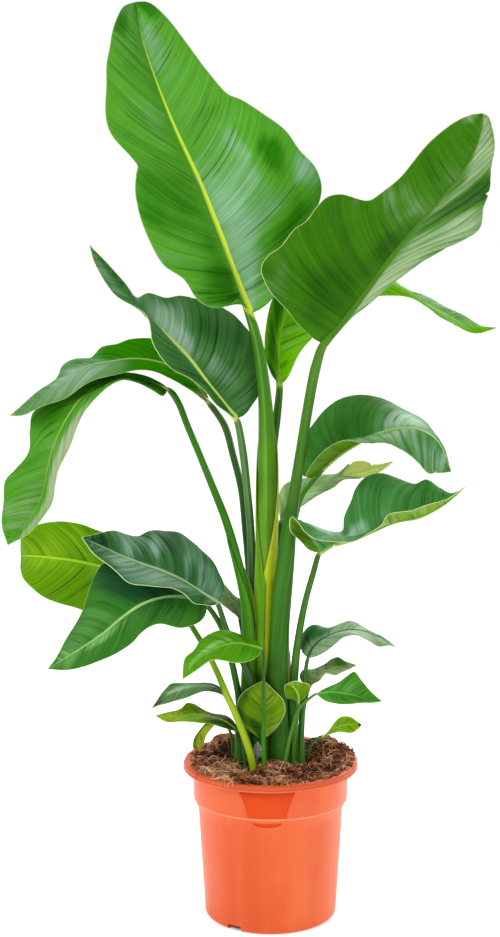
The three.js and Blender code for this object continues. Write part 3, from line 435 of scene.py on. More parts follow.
def smooth_line(points):
    """Close places along a centripetal Catmull-Rom curve, and the length of the curve up to each."""
    knots = np.array([point[:3] for point in points], float)
    knots = np.vstack([2 * knots[0] - knots[1], knots, 2 * knots[-1] - knots[-2]])
    gaps = np.sqrt(np.linalg.norm(np.diff(knots, axis=0), axis=1))
    t = np.linspace(0, 1, LINE_STEPS, endpoint=False)[:, None]
    places = []
    for i in range(1, len(knots) - 2):
        before, here, there, after = knots[i - 1:i + 3]
        first, middle, last = gaps[i - 1:i + 2]
        leave = (here - before) / first - (there - before) / (first + middle) + (there - here) / middle
        arrive = (there - here) / middle - (after - here) / (middle + last) + (after - there) / last
        places.append((2 * t ** 3 - 3 * t ** 2 + 1) * here + (t ** 3 - 2 * t ** 2 + t) * leave * middle
                      + (3 * t ** 2 - 2 * t ** 3) * there + (t ** 3 - t ** 2) * arrive * middle)
    places = np.vstack([*places, knots[-2:-1]])
    return places, np.r_[0, np.cumsum(np.linalg.norm(np.diff(places, axis=0), axis=1))]


def length_of(line):
    """The length of a smooth line."""
    return line[1][-1]


def place_at(line, share):
    """Places at shares of a line's length."""
    places, lengths = line
    wanted = np.asarray(share) * lengths[-1]
    return np.stack([np.interp(wanted, lengths, places[:, axis]) for axis in range(3)], axis=-1)


def heading_at(line, share):
    """The line's direction at shares of its length."""
    ahead = place_at(line, np.minimum(share + HEADING_STEP, 1))
    return unit(ahead - place_at(line, np.maximum(share - HEADING_STEP, 0)))


def smooth_step(values, low, high):
    """0 up to low, 1 from high on, and a soft rise in between."""
    t = np.clip((values - low) / (high - low), 0, 1)
    return t * t * (3 - 2 * t)


print("the tallest leaf's midrib is", round(length_of(smooth_line(UPPER_LEAVES[0]["rib"]))), "mm long")

# %% [markdown]
# ## The blade as a surface
#
# Half a blade is spanned by its veins: each vein leaves the midrib at one share of its length and
# meets the margin further along. The half bulges a little between rib and margin, and the margin
# is wavy. These are the CAD model's own rules, so both surfaces are the same. What is finer here:
# the veins leave the rib more squarely and then bend towards the tip, which only slides the points
# along the surface, and the margin has a few small tears.

# %% Half a blade
VEIN_SLANT = 0.7
VEIN_LEAN = 0.42
VEIN_BOW = 0.3
SWEEP_MOST = 0.4
BLADE_BULGE = 0.05
RIPPLE = 1.8
RIPPLE_LENGTH = 78
GOLDEN_ANGLE = 2.399963


def margin_line(leaf, side):
    """A blade's left, -1, or right, 1, margin, from the blade's start to its tip."""
    points = leaf["left"] if side < 0 else leaf["right"]
    return smooth_line([leaf["rib"][0], *points, leaf["rib"][-1]])


def nick_depth(leaf, side, share):
    """How far small tears and worn spots cut in from the margin, in millimetres."""
    depth = np.zeros_like(share)
    for where, at_share, deep, wide in leaf["nicks"]:
        if where == side:
            depth += deep * np.clip(1 - np.abs(share - at_share) / wide, 0, 1)
    return depth


def half_blade(leaf, order, side, veins, outs):
    """Places of half a blade, for veins by their share of the midrib and outs from 0, rib, to 1,
    with how far it is there from rib to margin, and the share of the rib that lies beside."""
    rib = smooth_line(leaf["rib"])
    margin = margin_line(leaf, side)
    width = np.linalg.norm(place_at(margin, veins ** VEIN_SLANT) - place_at(rib, veins), axis=-1)
    sweep = 4 * veins * (1 - veins) * np.minimum(SWEEP_MOST, width / length_of(rib))
    share = np.clip(veins + sweep * (VEIN_LEAN * outs - VEIN_BOW * outs * (1 - outs)), 0, 1)
    middle = place_at(rib, share)
    reach = place_at(margin, share ** VEIN_SLANT) - middle
    normal = unit(np.cross(reach, heading_at(rib, share)) * side * leaf["upper"])
    span = np.linalg.norm(reach, axis=-1)
    turn = order * GOLDEN_ANGLE + (side + 1) / 2 + 2 * math.pi * length_of(margin) * share / RIPPLE_LENGTH
    ripple = RIPPLE * np.sin(turn) * outs ** 2 * np.sin(math.pi * share)
    lift = BLADE_BULGE * span * 4 * outs * (1 - outs) + ripple
    inward = nick_depth(leaf, side, share) * outs ** 3 / np.maximum(span, 1)
    return middle + reach * (outs * (1 - inward))[..., None] + normal * lift[..., None], span, share


print("its right margin is", round(length_of(margin_line(UPPER_LEAVES[0], 1))), "mm long")

# %% [markdown]
# ## Pleats, creases and painted tones
#
# A blade is pleated along its veins: fine lines on all leaves, broad soft folds on the old ones,
# and a few sharp creases. The pleats wander a little, die away towards the rib and the margin, and
# on some leaves towards the tip. Modelling them, rather than only painting them, makes the light
# break along the veins, and the material also paints shade into the grooves and creases and light
# onto the crests. The blade's greens vary in soft spots, which are stored on the points as one tone
# and read by the material: the pale spots are painted sheen, the reflection of the lamps and the
# white sky, with some real bloom of wax, and the deep ones are the leaf's saturated green, darkened
# in places as painted shade.

# %% Pleats
FINE_GAP = 6.8
FINE_WANDER = 1.2
FINE_WANDER_LENGTH = 9.7
FOLD_WANDER = 0.2
FOLD_WANDER_LENGTH = 23
FOLD_CREST = 1.6
PLEATS_RISE = (0.03, 0.22)
PLEATS_SINK = (0.75, 1)
MARGIN_LOSS = 0.6
TIP_LOSS = 0.75


def pleats(leaf, order, vein, outs, side):
    """Height of the blade's pleats over the smooth surface, in millimetres."""
    start = random.Random(order * 2 + side).uniform(0, 6)
    fine = np.sin(2 * math.pi * vein / FINE_GAP + FINE_WANDER * np.sin(vein / FINE_WANDER_LENGTH + start))
    wander = FOLD_WANDER * np.sin(vein / FOLD_WANDER_LENGTH + start)
    turn = math.pi * (vein / leaf["pleat_length"] + wander) + start
    broad = 1 - 2 * (1 - np.abs(np.sin(turn))) ** FOLD_CREST
    fades = smooth_step(outs, *PLEATS_RISE) * (1 - MARGIN_LOSS * smooth_step(outs, *PLEATS_SINK))
    broad *= 1 - TIP_LOSS * smooth_step(vein / vein.max(), *leaf["pleats_end"])
    return (leaf["lines"] * fine + leaf["pleat"][(side + 1) // 2] * broad) * fades


print("fine lines every", FINE_GAP, "mm")

# %% Creases
CREASE_ROWS = (0.04, 0.96)
CREASE_BEGINS = (-0.15, 0.35)
CREASE_ENDS = (0.45, 1.1)
CREASE_LEAD_IN = 0.12
CREASE_RUN_OUT = 0.2
CREASE_SHARPNESS = (0.35, 1.0)
CREASE_TIP_LOSS = 0.8


def creases(leaf, order, vein, outs, side):
    """How sharply the blade is creased along single veins, from 0 to 1."""
    draw = random.Random(order * 2 + side)
    sharp = np.zeros_like(outs)
    for _ in range(int(vein.max() / leaf["crease_gap"][(side + 1) // 2])):
        row = int(draw.uniform(*CREASE_ROWS) * len(outs))
        begins = draw.uniform(*CREASE_BEGINS)
        ends = draw.uniform(*CREASE_ENDS)
        over = smooth_step(outs[row], ends - CREASE_RUN_OUT, ends)
        window = smooth_step(outs[row], begins, begins + CREASE_LEAD_IN) * (1 - over)
        sharp[row] = np.maximum(sharp[row], draw.uniform(*CREASE_SHARPNESS) * window)
    return sharp * (1 - CREASE_TIP_LOSS * smooth_step(vein / vein.max(), *leaf["pleats_end"]))


print("creases end at", CREASE_ENDS, "of the way out")

# %% Painted tones
SPOT_SHARPNESS = 1.4
TONE_LIMIT = 1.3


def painted_sheen_and_shade(leaf, share, out):
    """How deep, -1, or pale, 1, the blade is painted: soft spots on it, by share of the rib and
    distance out from it, where left is negative. Pale spots are painted sheen, and deep ones are in
    places painted shade."""
    tone = np.full(share.shape, leaf["tone"])
    for at_share, at_out, long, wide, amount in leaf["spots"]:
        off = ((share - at_share) / long) ** 2 + ((out - at_out) / wide) ** 2
        tone += amount * np.exp(-off ** SPOT_SHARPNESS)
    return np.clip(tone, -TONE_LIMIT, TONE_LIMIT)


print("tones go from", -TONE_LIMIT, "to", TONE_LIMIT)

# %% [markdown]
# ## From surface to sheet
#
# The two faces of a blade are the same grid of points, moved apart along the surface's normal and
# closed around the edge. The midrib is a shallow gutter on the upper face and a rounded keel
# below, and the margin thins out to an edge. Close to the stem the normal is held steady, or the
# narrow base would crumple. Each point also carries what the finish needs to know: which vein it
# is on, how far it is from the rib and from the margin, which face it is on, and how deep it lies
# in a pleat. The materials read these, so the veins' colours follow the veins.

# %% Grids of points
def grid_faces(rows, across, start=0, flip=False):
    """Four-sided faces of a grid of points that are numbered row by row."""
    corner = start + np.arange(rows - 1)[:, None] * across + np.arange(across - 1)[None, :]
    quads = np.stack([corner, corner + 1, corner + across + 1, corner + across], axis=-1).reshape(-1, 4)
    return quads[:, ::-1] if flip else quads


def grid_border(rows, across):
    """The numbers of a grid's outer points, once round."""
    right = np.arange(1, rows) * across + across - 1
    far = (rows - 1) * across + np.arange(across - 2, -1, -1)
    left = np.arange(rows - 2, 0, -1) * across
    return np.r_[np.arange(across), right, far, left]


def sheet_faces(rows, across):
    """Faces of a closed sheet: one grid of points, the same grid again as its other side, and the
    edge between them."""
    size = rows * across
    border = grid_border(rows, across)
    following = np.roll(border, -1)
    rim = np.stack([border, border + size, following + size, following], axis=-1)
    return np.vstack([grid_faces(rows, across), grid_faces(rows, across, size, flip=True), rim])


def surface_normals(grid):
    """Unit normals of a grid of points, from the neighbours along and across."""
    return unit(np.cross(np.gradient(grid, axis=1), np.gradient(grid, axis=0)))


def triples(first, second, third):
    """Three values for each point of a grid, where a single value or row counts for all points."""
    return np.stack(np.broadcast_arrays(first, second, third), axis=-1).reshape(-1, 3)


print("a sheet of 3 by 4 points has", len(sheet_faces(3, 4)), "faces")

# %% Midrib
KEEL_SHARE = 0.36
RIB_BANKS = 0.5
RIB_GUTTER = 0.13
RIB_TAPER = 0.85
RIB_LEAST = 0.35
RIB_FLARE = 0.4
RIB_FLARE_LENGTH = 0.14
UP_ACROSS_AT = 0.2
UP_ALONG_AT = 0.08


def blade_up(leaf):
    """Which way the blade's upper face looks where the blade starts."""
    left, right = (place_at(margin_line(leaf, side), UP_ACROSS_AT) for side in (-1, 1))
    along = heading_at(smooth_line(leaf["rib"]), UP_ALONG_AT)
    return unit(np.cross(right - left, along)) * leaf["upper"]


def rib_half_width(leaf, veins):
    """Half the midrib's width: it runs out to a line at the tip, and flares where the stem joins."""
    flared = 1 + RIB_FLARE * np.exp(-(veins / RIB_FLARE_LENGTH) ** 2)
    return leaf["rib_width"] * leaf["stem"][-1][3] * (1 - veins) ** RIB_TAPER * flared + RIB_LEAST


def keel_profile(near, keel, width):
    """Lift of the upper face and drop of the lower face within the midrib, for near from 0 to 1."""
    upper = width * (RIB_BANKS * near ** 2 * (1 - near ** 2) - RIB_GUTTER * (1 - near ** 2) ** 2)
    lower = keel * np.sqrt(np.clip(1 - near ** 2, 0, 1))
    return upper, lower


print("the tallest leaf's upper face looks towards", np.round(blade_up(UPPER_LEAVES[0]), 2))

# %% Blade sheet
BLADE_HALF_THICKNESS = 0.42
EDGE_HALF_THICKNESS = 0.18
CREASE_DEPTH = 0.45
LEFT_VEINS_FROM = 1500
STEADY_BASE = (0.01, 0.06)
MARGIN_BAND = 1.1
BAND_MOST = 0.1
AT_MARGIN = 0.01
FIRST_SHARE = 0.006
LAST_SHARE = 0.996
RIB_COLUMNS = 5
RIB_MOST = 0.3


def half_sheet(leaf, order, side, veins, rib_half):
    """What is known of half a blade, as grids of rows along the veins, from the rib outwards."""
    _, span, _ = half_blade(leaf, order, side, veins, np.ones_like(veins))
    rib_out = np.minimum(RIB_MOST, rib_half / span)
    band = 1 - np.minimum(BAND_MOST, MARGIN_BAND / span)
    near = np.linspace(0, 1, RIB_COLUMNS)[None, :]
    over = np.linspace(0, 1, leaf["columns"] + 1)[None, 1:]
    outs = np.hstack([rib_out * near, rib_out + (band - rib_out) * over, np.ones_like(veins)])
    points, _, share = half_blade(leaf, order, side, np.broadcast_to(veins, outs.shape), outs)
    vein = np.broadcast_to(veins * length_of(smooth_line(leaf["rib"])), outs.shape)
    sharp = creases(leaf, order, vein, outs, side)
    return {"points": points, "height": pleats(leaf, order, vein, outs, side) - CREASE_DEPTH * sharp,
            "away": side * outs * span, "edge": (1 - outs) * span,
            "nearness": np.clip(1 - outs / rib_out, 0, 1), "vein": vein + (side < 0) * LEFT_VEINS_FROM,
            "tone": painted_sheen_and_shade(leaf, share, side * outs), "sharp": sharp}


def whole_sheet(left, right):
    """Both halves side by side. The left one runs inwards, and the rib's middle is kept once."""
    return {fact: np.hstack([left[fact][:, :0:-1], right[fact]]) for fact in left}


def blade_block(leaf, order):
    """One blade as a closed sheet: its points, faces and what the finish reads."""
    row_count = int(length_of(smooth_line(leaf["rib"])) / leaf["row"]) + 2
    veins = np.linspace(FIRST_SHARE, LAST_SHARE, row_count)[:, None]
    rib_half = rib_half_width(leaf, veins)
    sheet = whole_sheet(*(half_sheet(leaf, order, side, veins, rib_half) for side in (-1, 1)))
    relief = sheet["points"] + surface_normals(sheet["points"]) * sheet["height"][..., None]
    steady = (1 - smooth_step(veins, *STEADY_BASE))[..., None]
    normals = unit(surface_normals(relief) * (1 - steady) + leaf["upper"] * blade_up(leaf) * steady)
    keel = KEEL_SHARE * leaf["stem"][-1][3] * (1 - veins)
    upper, lower = keel_profile(1 - sheet["nearness"], keel, rib_half)
    thinner = (EDGE_HALF_THICKNESS - BLADE_HALF_THICKNESS) * (sheet["edge"] < AT_MARGIN)
    half_thick = BLADE_HALF_THICKNESS + thinner
    face_up = relief + leaf["upper"] * normals * (half_thick + upper)[..., None]
    face_down = relief - leaf["upper"] * normals * (half_thick + lower)[..., None]
    front, back = (face_up, face_down) if leaf["upper"] > 0 else (face_down, face_up)
    front_is_upper = 1.0 if leaf["upper"] > 0 else 0.0
    marks = [triples(is_upper, sheet["height"], sheet["nearness"])
             for is_upper in (front_is_upper, 1 - front_is_upper)]
    place = triples(sheet["vein"], sheet["away"], sheet["edge"])
    paint = triples(sheet["tone"], veins, sheet["sharp"])
    return {"points": np.vstack([front.reshape(-1, 3), back.reshape(-1, 3)]),
            "faces": sheet_faces(*sheet["height"].shape), "place": np.vstack([place, place]),
            "marks": np.vstack(marks), "paint": np.vstack([paint, paint])}


print("blades are", 2 * BLADE_HALF_THICKNESS, "mm thick")

# %% [markdown]
# ## Stems and sheaths
#
# A leaf's stem is round at the back and has a gutter along the front of it, which runs on into the
# midrib. Low down, the gutter's two sides grow out into thin wings that wrap round the younger
# stems: the sheath. A stem is drawn as rings along its path. The rings are turned by carrying the
# gutter's direction down from the blade, so the gutter never twists. At the top the stem goes on
# under the midrib and sinks into it, and the midrib's tint starts there on a slant, as it does on
# the plant. A sheath is a thin shell round the stem that is open on one side, closes further down,
# and has a dry edge.

# %% Stem path
STEM_FOOT = 150
STEM_RING_GAP = 4.0
STEM_REACH = 0.1
STEM_TOP_POINTS = 6
STEM_TOP_WIDTHS = (0.84, 0.56)


def rooted_stem(leaf):
    """A stem's measured points, and before them its foot, which goes straight down into the soil."""
    x, y, _, width = leaf["stem"][0]
    return [[x, y, STEM_FOOT, width], *leaf["stem"]]


def stem_path(leaf):
    """The stem's path and width, with its top led in under the midrib."""
    rib = smooth_line(leaf["rib"])
    reached = np.linspace(0, STEM_REACH, STEM_TOP_POINTS)
    widths = leaf["stem"][-1][3] * np.linspace(*STEM_TOP_WIDTHS, STEM_TOP_POINTS)
    top = [[*place_at(rib, share), wide] for share, wide in zip(reached, widths)]
    return rooted_stem(leaf) + top


def blade_start(leaf):
    """How far up the stem's whole path, from 0 to 1, its blade starts."""
    free_length = length_of(smooth_line([*rooted_stem(leaf), leaf["rib"][0]]))
    return free_length / length_of(smooth_line(stem_path(leaf)))


def stem_rings(leaf, gap=STEM_RING_GAP):
    """Centres, radii, directions, gutter directions and shares along a stem, from the soil up."""
    path = stem_path(leaf)
    line = smooth_line(path)
    knots = np.array([point[:3] for point in path])
    reached = np.r_[0, np.cumsum(np.linalg.norm(np.diff(knots, axis=0), axis=1))]
    shares = np.linspace(0, 1, int(length_of(line) / gap))
    radii = np.interp(shares * reached[-1], reached, [point[3] / 2 for point in path])
    headings = heading_at(line, shares)
    gutters = np.zeros_like(headings)
    direction = blade_up(leaf)
    for i in range(len(shares) - 1, -1, -1):
        direction = unit(direction - headings[i] * np.dot(direction, headings[i]))
        gutters[i] = direction
    return place_at(line, shares), radii, headings, gutters, shares


print("the tallest leaf's blade starts at", round(blade_start(UPPER_LEAVES[0]), 3), "of its stem's path")

# %% Stem
STEM_SIDES = 20
GUTTER_DEPTH = 0.3
GUTTER_AT_FOOT = 0.25
GUTTER_GROWS = (0.25, 0.9)
GUTTER_WIDTH = 0.62
GUTTER_BEFORE_BLADE = (0.035, 0.005)
SUNK_BY = 1.1
SINKS_FROM = 0.02
SUNK_AFTER = 0.035
GUTTER_EDGE_AT = 0.75
GUTTER_EDGE_WIDTH = 0.2
GUTTER_EDGE_SHOWS = (0.2, 0.7)
LEAD_LENGTH = 0.007


def gutter_shape(shares, turned, start):
    """A ring's radius round the stem, 1 where the gutter doesn't dent it."""
    depth = GUTTER_DEPTH * (GUTTER_AT_FOOT + (1 - GUTTER_AT_FOOT) * smooth_step(shares, *GUTTER_GROWS))
    ends = (start - before for before in GUTTER_BEFORE_BLADE)
    depth = depth * (1 - smooth_step(shares, *ends))
    return 1 - depth[:, None] * np.exp(-(turned / GUTTER_WIDTH) ** 2)[None, :]


def stem_block(leaf):
    """One stem as a closed tube with a gutter."""
    centres, radii, headings, gutters, shares = stem_rings(leaf)
    rights = np.cross(headings, gutters)
    turns = np.arange(STEM_SIDES) / STEM_SIDES * 2 * math.pi
    turned = np.minimum(turns, 2 * math.pi - turns)
    start = blade_start(leaf)
    flat = 1 - SUNK_BY * smooth_step(shares, start - SINKS_FROM, start + SUNK_AFTER)[:, None]
    upward = np.cos(turns)[None, :] * np.where(np.cos(turns)[None, :] > 0, flat, 1)
    out = upward[..., None] * gutters[:, None, :] + np.sin(turns)[None, :, None] * rights[:, None, :]
    points = centres[:, None, :] + out * (radii[:, None] * gutter_shape(shares, turned, start))[..., None]
    first = np.arange(len(shares) - 1)[:, None] * STEM_SIDES
    corner = first + np.arange(STEM_SIDES)[None, :]
    beside = first + (np.arange(STEM_SIDES)[None, :] + 1) % STEM_SIDES
    faces = np.stack([corner, beside, beside + STEM_SIDES, corner + STEM_SIDES], axis=-1).reshape(-1, 4)
    last = (len(shares) - 1) * STEM_SIDES
    caps = [list(range(STEM_SIDES))[::-1], [last + i for i in range(STEM_SIDES)]]
    lengths = shares * length_of(smooth_line(stem_path(leaf)))
    gutter_edge = np.exp(-((turned - GUTTER_EDGE_AT) / GUTTER_EDGE_WIDTH) ** 2)[None, :]
    gutter_edge = gutter_edge * smooth_step(shares, *GUTTER_EDGE_SHOWS)[:, None]
    slanted = shares[:, None] + leaf["rib_slant"] * np.sin(turns)[None, :]
    into_rib = smooth_step(slanted, start - LEAD_LENGTH, start + LEAD_LENGTH)
    return {"points": points.reshape(-1, 3), "faces": faces.tolist() + caps,
            "place": triples(lengths[:, None], turned[None, :] * radii[:, None], 0.0),
            "marks": triples(0.0, 0.0, gutter_edge), "paint": triples(0.0, shares[:, None], into_rib)}


print("stems have", STEM_SIDES, "sides")

# %% Sheath
SHEATH_THICKNESS = 0.9
SHEATH_GAP = 0.35
SHEATH_COLUMNS = 34
SHEATH_ROW_GAP = 5.0
SHEATH_LAP = 1.2
LAP_ENDS = (-0.1, 0.3)
HALF_OPEN_LEAST = -0.22
HALF_OPEN_GAIN = 2.3
OPENING_BEND = 0.85
FLARE_WIDTH = 0.12
SHEATH_SINKS = (0.86, 1.0)
SHEATH_STREAKS_FROM = 900


def sheath_block(leaf, sheath):
    """A stem's wings: a shell round it that is open towards sheath["facing"], an angle in degrees
    from the front, between the heights top and closed, and that wraps over itself below."""
    centres, radii, headings, _, _ = stem_rings(leaf, SHEATH_ROW_GAP)
    inside = (centres[:, 2] > sheath["foot"]) & (centres[:, 2] < sheath["top"])
    centres, radii, headings = centres[inside], radii[inside], headings[inside]
    heights = centres[:, 2]
    facing = math.radians(sheath["facing"])
    front = np.array([math.sin(facing), -math.cos(facing), 0])
    forward = unit(front - headings * (headings @ front)[:, None])
    rights = np.cross(headings, forward)
    opening = np.clip((heights - sheath["closed"]) / (sheath["top"] - sheath["closed"]), 0, 1)
    half_open = HALF_OPEN_LEAST + HALF_OPEN_GAIN * opening ** OPENING_BEND
    across = np.linspace(0, 1, SHEATH_COLUMNS)
    turns = half_open[:, None] + (2 * math.pi - 2 * half_open)[:, None] * across
    near_edge = np.minimum(across, 1 - across)
    lap = across[None, :] * SHEATH_LAP * (1 - smooth_step(opening, *LAP_ENDS))[:, None]
    proud = sheath["flare"] * np.sin(math.pi * opening)[:, None] * np.exp(-(near_edge / FLARE_WIDTH) ** 2)
    standing = 1 - smooth_step(opening, *SHEATH_SINKS)[:, None]
    radius = radii[:, None] + SHEATH_GAP + lap + proud
    inner_radius = radius - (1 - standing) * SHEATH_THICKNESS
    out = np.cos(turns)[..., None] * forward[:, None, :] + np.sin(turns)[..., None] * rights[:, None, :]
    outer = centres[:, None, :] + out * (inner_radius + SHEATH_THICKNESS * standing)[..., None]
    inner = centres[:, None, :] + out * inner_radius[..., None]
    edge = near_edge[None, :] * 2 * math.pi * radius
    place = triples(heights[:, None] + SHEATH_STREAKS_FROM, turns * radius, edge)
    paint = triples(across[None, :], opening[:, None], 0.0)
    return {"points": np.vstack([outer.reshape(-1, 3), inner.reshape(-1, 3)]),
            "faces": sheet_faces(*turns.shape), "place": np.vstack([place, place]),
            "marks": np.zeros((2 * turns.size, 3)), "paint": np.vstack([paint, paint])}


print("sheaths are", SHEATH_THICKNESS, "mm thick")

# %% [markdown]
# ## One object from several blocks
#
# A leaf is one piece in the CAD model, so blade, stem and sheath become one object here too, each
# with its own material slot. The facts for the finish are stored as attributes on the points: the
# place on the leaf, the marks of what is there, and the paint. A block leaves at 0 what its finish
# doesn't read.

# %% Joining blocks
FACTS = ("place", "marks", "paint")


def make_piece(name, blocks, materials):
    """One object from blocks of points and faces, block by block with the given materials."""
    points, faces, slots, offset = [], [], [], 0
    for slot_number, block in enumerate(blocks):
        points.append(block["points"] * MM)
        faces += [[int(corner) + offset for corner in face] for face in block["faces"]]
        slots += [slot_number] * len(block["faces"])
        offset += len(block["points"])
    mesh = bpy.data.meshes.new(name)
    mesh.from_pydata(np.vstack(points).tolist(), [], faces)
    for material in materials:
        mesh.materials.append(material)
    mesh.polygons.foreach_set("material_index", slots)
    mesh.polygons.foreach_set("use_smooth", [True] * len(faces))
    for fact in FACTS:
        attribute = mesh.attributes.new(fact, "FLOAT_VECTOR", "POINT")
        attribute.data.foreach_set("vector", np.vstack([block[fact] for block in blocks]).ravel())
    mesh.update()
    return placed(name, mesh)


def triangle_count(piece):
    """How many triangles a piece's mesh has."""
    piece.data.calc_loop_triangles()
    return len(piece.data.loop_triangles)


print("each point carries", ", ".join(FACTS))

# %% [markdown]
# ## What each leaf looks like
#
# The leaves differ: the old ones are blue-green and pleated, the young ones thin and yellow-green,
# so that light shines through them. Each entry below gives a leaf three greens for its upper face
# and three for its lower face: the deepest, the usual one and the palest, which is painted sheen,
# the grey reflection of the lamps and the white sky, together with some real bloom of wax. The spots
# say where it is deep or pale, painted sheen where pale and in places painted shade where deep:
# share of the rib, distance out (left is negative), how long, how wide and how much. Then come the
# midrib's tint, the stem's tints at its top and foot, how strongly the left and right halves are
# pleated, and glow, how much light the blade lets through. The entries row and columns say how fine
# the blade's grid is. All of this was judged one by one.

# %% Looks of the upper storey
def look(upper, lower, rib, stem, **more):
    """A leaf's finish and the shape of its pleats: the usual ones, where an entry says nothing else."""
    usual = dict(pleat=(0.2, 0.2), pleat_length=20, pleats_end=(1, 2), lines=0.1, crease_gap=(16, 16),
                 tone=0.0, spots=(), glow=0.12, gloss=0.07, row=1.75, columns=26, rib_width=0.4,
                 rib_slant=0.0)
    return dict(usual, upper_face=upper.split(), lower_face=lower.split(), rib_tint=rib,
                stem_tint=stem.split(), **more)


# In the spots, pale is painted sheen and deep is in places painted shade.
LOOKS = {
    "leaf_tall": look(
        "2A7802 549E2A 86B48A", "3A7A20 5C9440 86AD68", "C8DC44", "3C7A14 70A01C",
        pleat=(0.14, 0.1), pleat_length=32, crease_gap=(13, 13), columns=30, rib_fades=(0.8, 1.2),
        rib_slant=0.016,
        spots=[(0.93, 0.8, 0.06, 0.35, -1.1), (0.99, 0, 0.04, 1.2, -0.6), (0.9, -0.85, 0.09, 0.3, -1.1),
         (0.76, -0.6, 0.1, 0.4, -0.4), (0.33, -0.75, 0.11, 0.38, -0.8), (0.25, -0.25, 0.17, 0.3, -0.5),
         (0.08, -0.5, 0.07, 0.5, -0.8), (0.345, 0.76, 0.055, 0.15, -1.05), (0.27, 0.9, 0.08, 0.12, 0.7),
         (0.43, 0.57, 0.07, 0.1, 0.4), (0.205, 0.86, 0.04, 0.2, -0.9), (0.16, 0.62, 0.05, 0.2, -0.6),
         (0.18, 0.1, 0.22, 0.2, 0.9), (0.26, 0.38, 0.2, 0.24, 0.4), (0.84, 0.3, 0.12, 0.3, 0.4)]),
    "leaf_upper_right": look(
        "2A7008 4A9420 86B070", "225404 387408 8CA878", "46761A", "46761C 205A06",
        pleat=(0.07, 0.75), pleat_length=17, crease_gap=(26, 8), columns=30, rib_width=0.22, tone=-0.15,
        margin=0.9,
        spots=[(0.22, -0.3, 0.14, 0.35, -0.6), (0.42, -0.1, 0.16, 0.16, -0.7),
         (0.57, -0.35, 0.07, 0.5, 0.38), (0.74, -0.15, 0.2, 0.35, 0.3), (0.6, -0.8, 0.06, 0.2, 0.2),
         (0.92, -0.2, 0.1, 0.4, -0.4), (0.15, -0.9, 0.1, 0.3, 0.3), (0.5, 0.55, 1.0, 0.55, 1.0),
         (0.62, 0.9, 0.05, 0.3, -1.9), (0.575, 0.6, 0.045, 0.3, -1.5), (0.53, 0.3, 0.045, 0.3, -1.0),
         (0.83, 0.1, 0.06, 0.2, -0.3), (0.7, 0.2, 0.05, 0.3, -0.5), (0.96, -0.9, 0.05, 0.5, 0.4)]),
    "leaf_behind_right": look(
        "2C6C08 78BC08 90B088", "4C8A10 7CA820 B0CC60", "A9C850", "306C10 306C10",
        pleat=(0.2, 0.25), glow=0.35,
        spots=[(0.25, -0.6, 0.3, 0.45, -1.1), (0.8, -0.5, 0.3, 0.55, 1.2), (0.2, 0.3, 0.2, 0.4, 0.15)]),
    "leaf_upper_left": look(
        "1E5214 3C7034 84A488", "2E6030 5A8860 8CAA90", "B4CC5C", "48743C 2E6420",
        pleat=(0.3, 0.5), pleat_length=11, crease_gap=(17, 12), pleats_end=(0.3, 0.5), glow=0.08,
        margin=1.0, rib_fades=(0.45, 0.65),
        spots=[(0.55, 0.35, 0.1, 0.4, 0.6), (0.2, 0.75, 0.13, 0.35, -0.4), (0.22, 0.22, 0.1, 0.2, 0.4),
         (0.42, 0.08, 0.1, 0.28, 0.9), (0.36, 0.5, 0.09, 0.35, -0.7), (0.3, -0.5, 0.25, 0.5, -0.6),
         (0.85, -0.5, 0.12, 0.6, 0.3), (0.84, 0.3, 0.12, 0.6, -0.8), (0.7, 0.8, 0.12, 0.4, 0.3)]),
    "leaf_left_arching": look(
        "2E7A02 64945A 94B098", "1E5208 3C7018 6E9440", "94B074", "2A5416 20520E",
        pleat=(0.15, 0.2), pleat_length=15, tip=("A8B84C", 0.96), base=("8C8458", 0.06), gloss=0.0,
        spots=[(0.3, 0.5, 0.24, 0.7, -1.5), (0.17, -0.5, 0.22, 0.8, -1.5), (0.72, 0.2, 0.16, 0.4, 0.6),
         (0.65, -0.5, 0.2, 0.6, 0.5), (0.9, 0.3, 0.1, 0.6, -0.3)]),
    "leaf_left_hanging": look(
        "2C7408 52982C A0B088", "2A6A14 4C8A30 8CA878", "94BC50", "2E6A0A 2E7208",
        pleat=(0.2, 0.15), pleat_length=22, gloss=0.0,
        spots=[(0.12, 0, 0.16, 1.2, -1.6), (0.6, -0.8, 0.4, 0.3, 0.9), (0.42, 0.6, 0.07, 0.4, -0.6),
         (0.63, 0.5, 0.05, 0.4, -0.6), (0.86, 0.4, 0.12, 0.6, 0.25)]),
}
print(len(LOOKS), "looks")

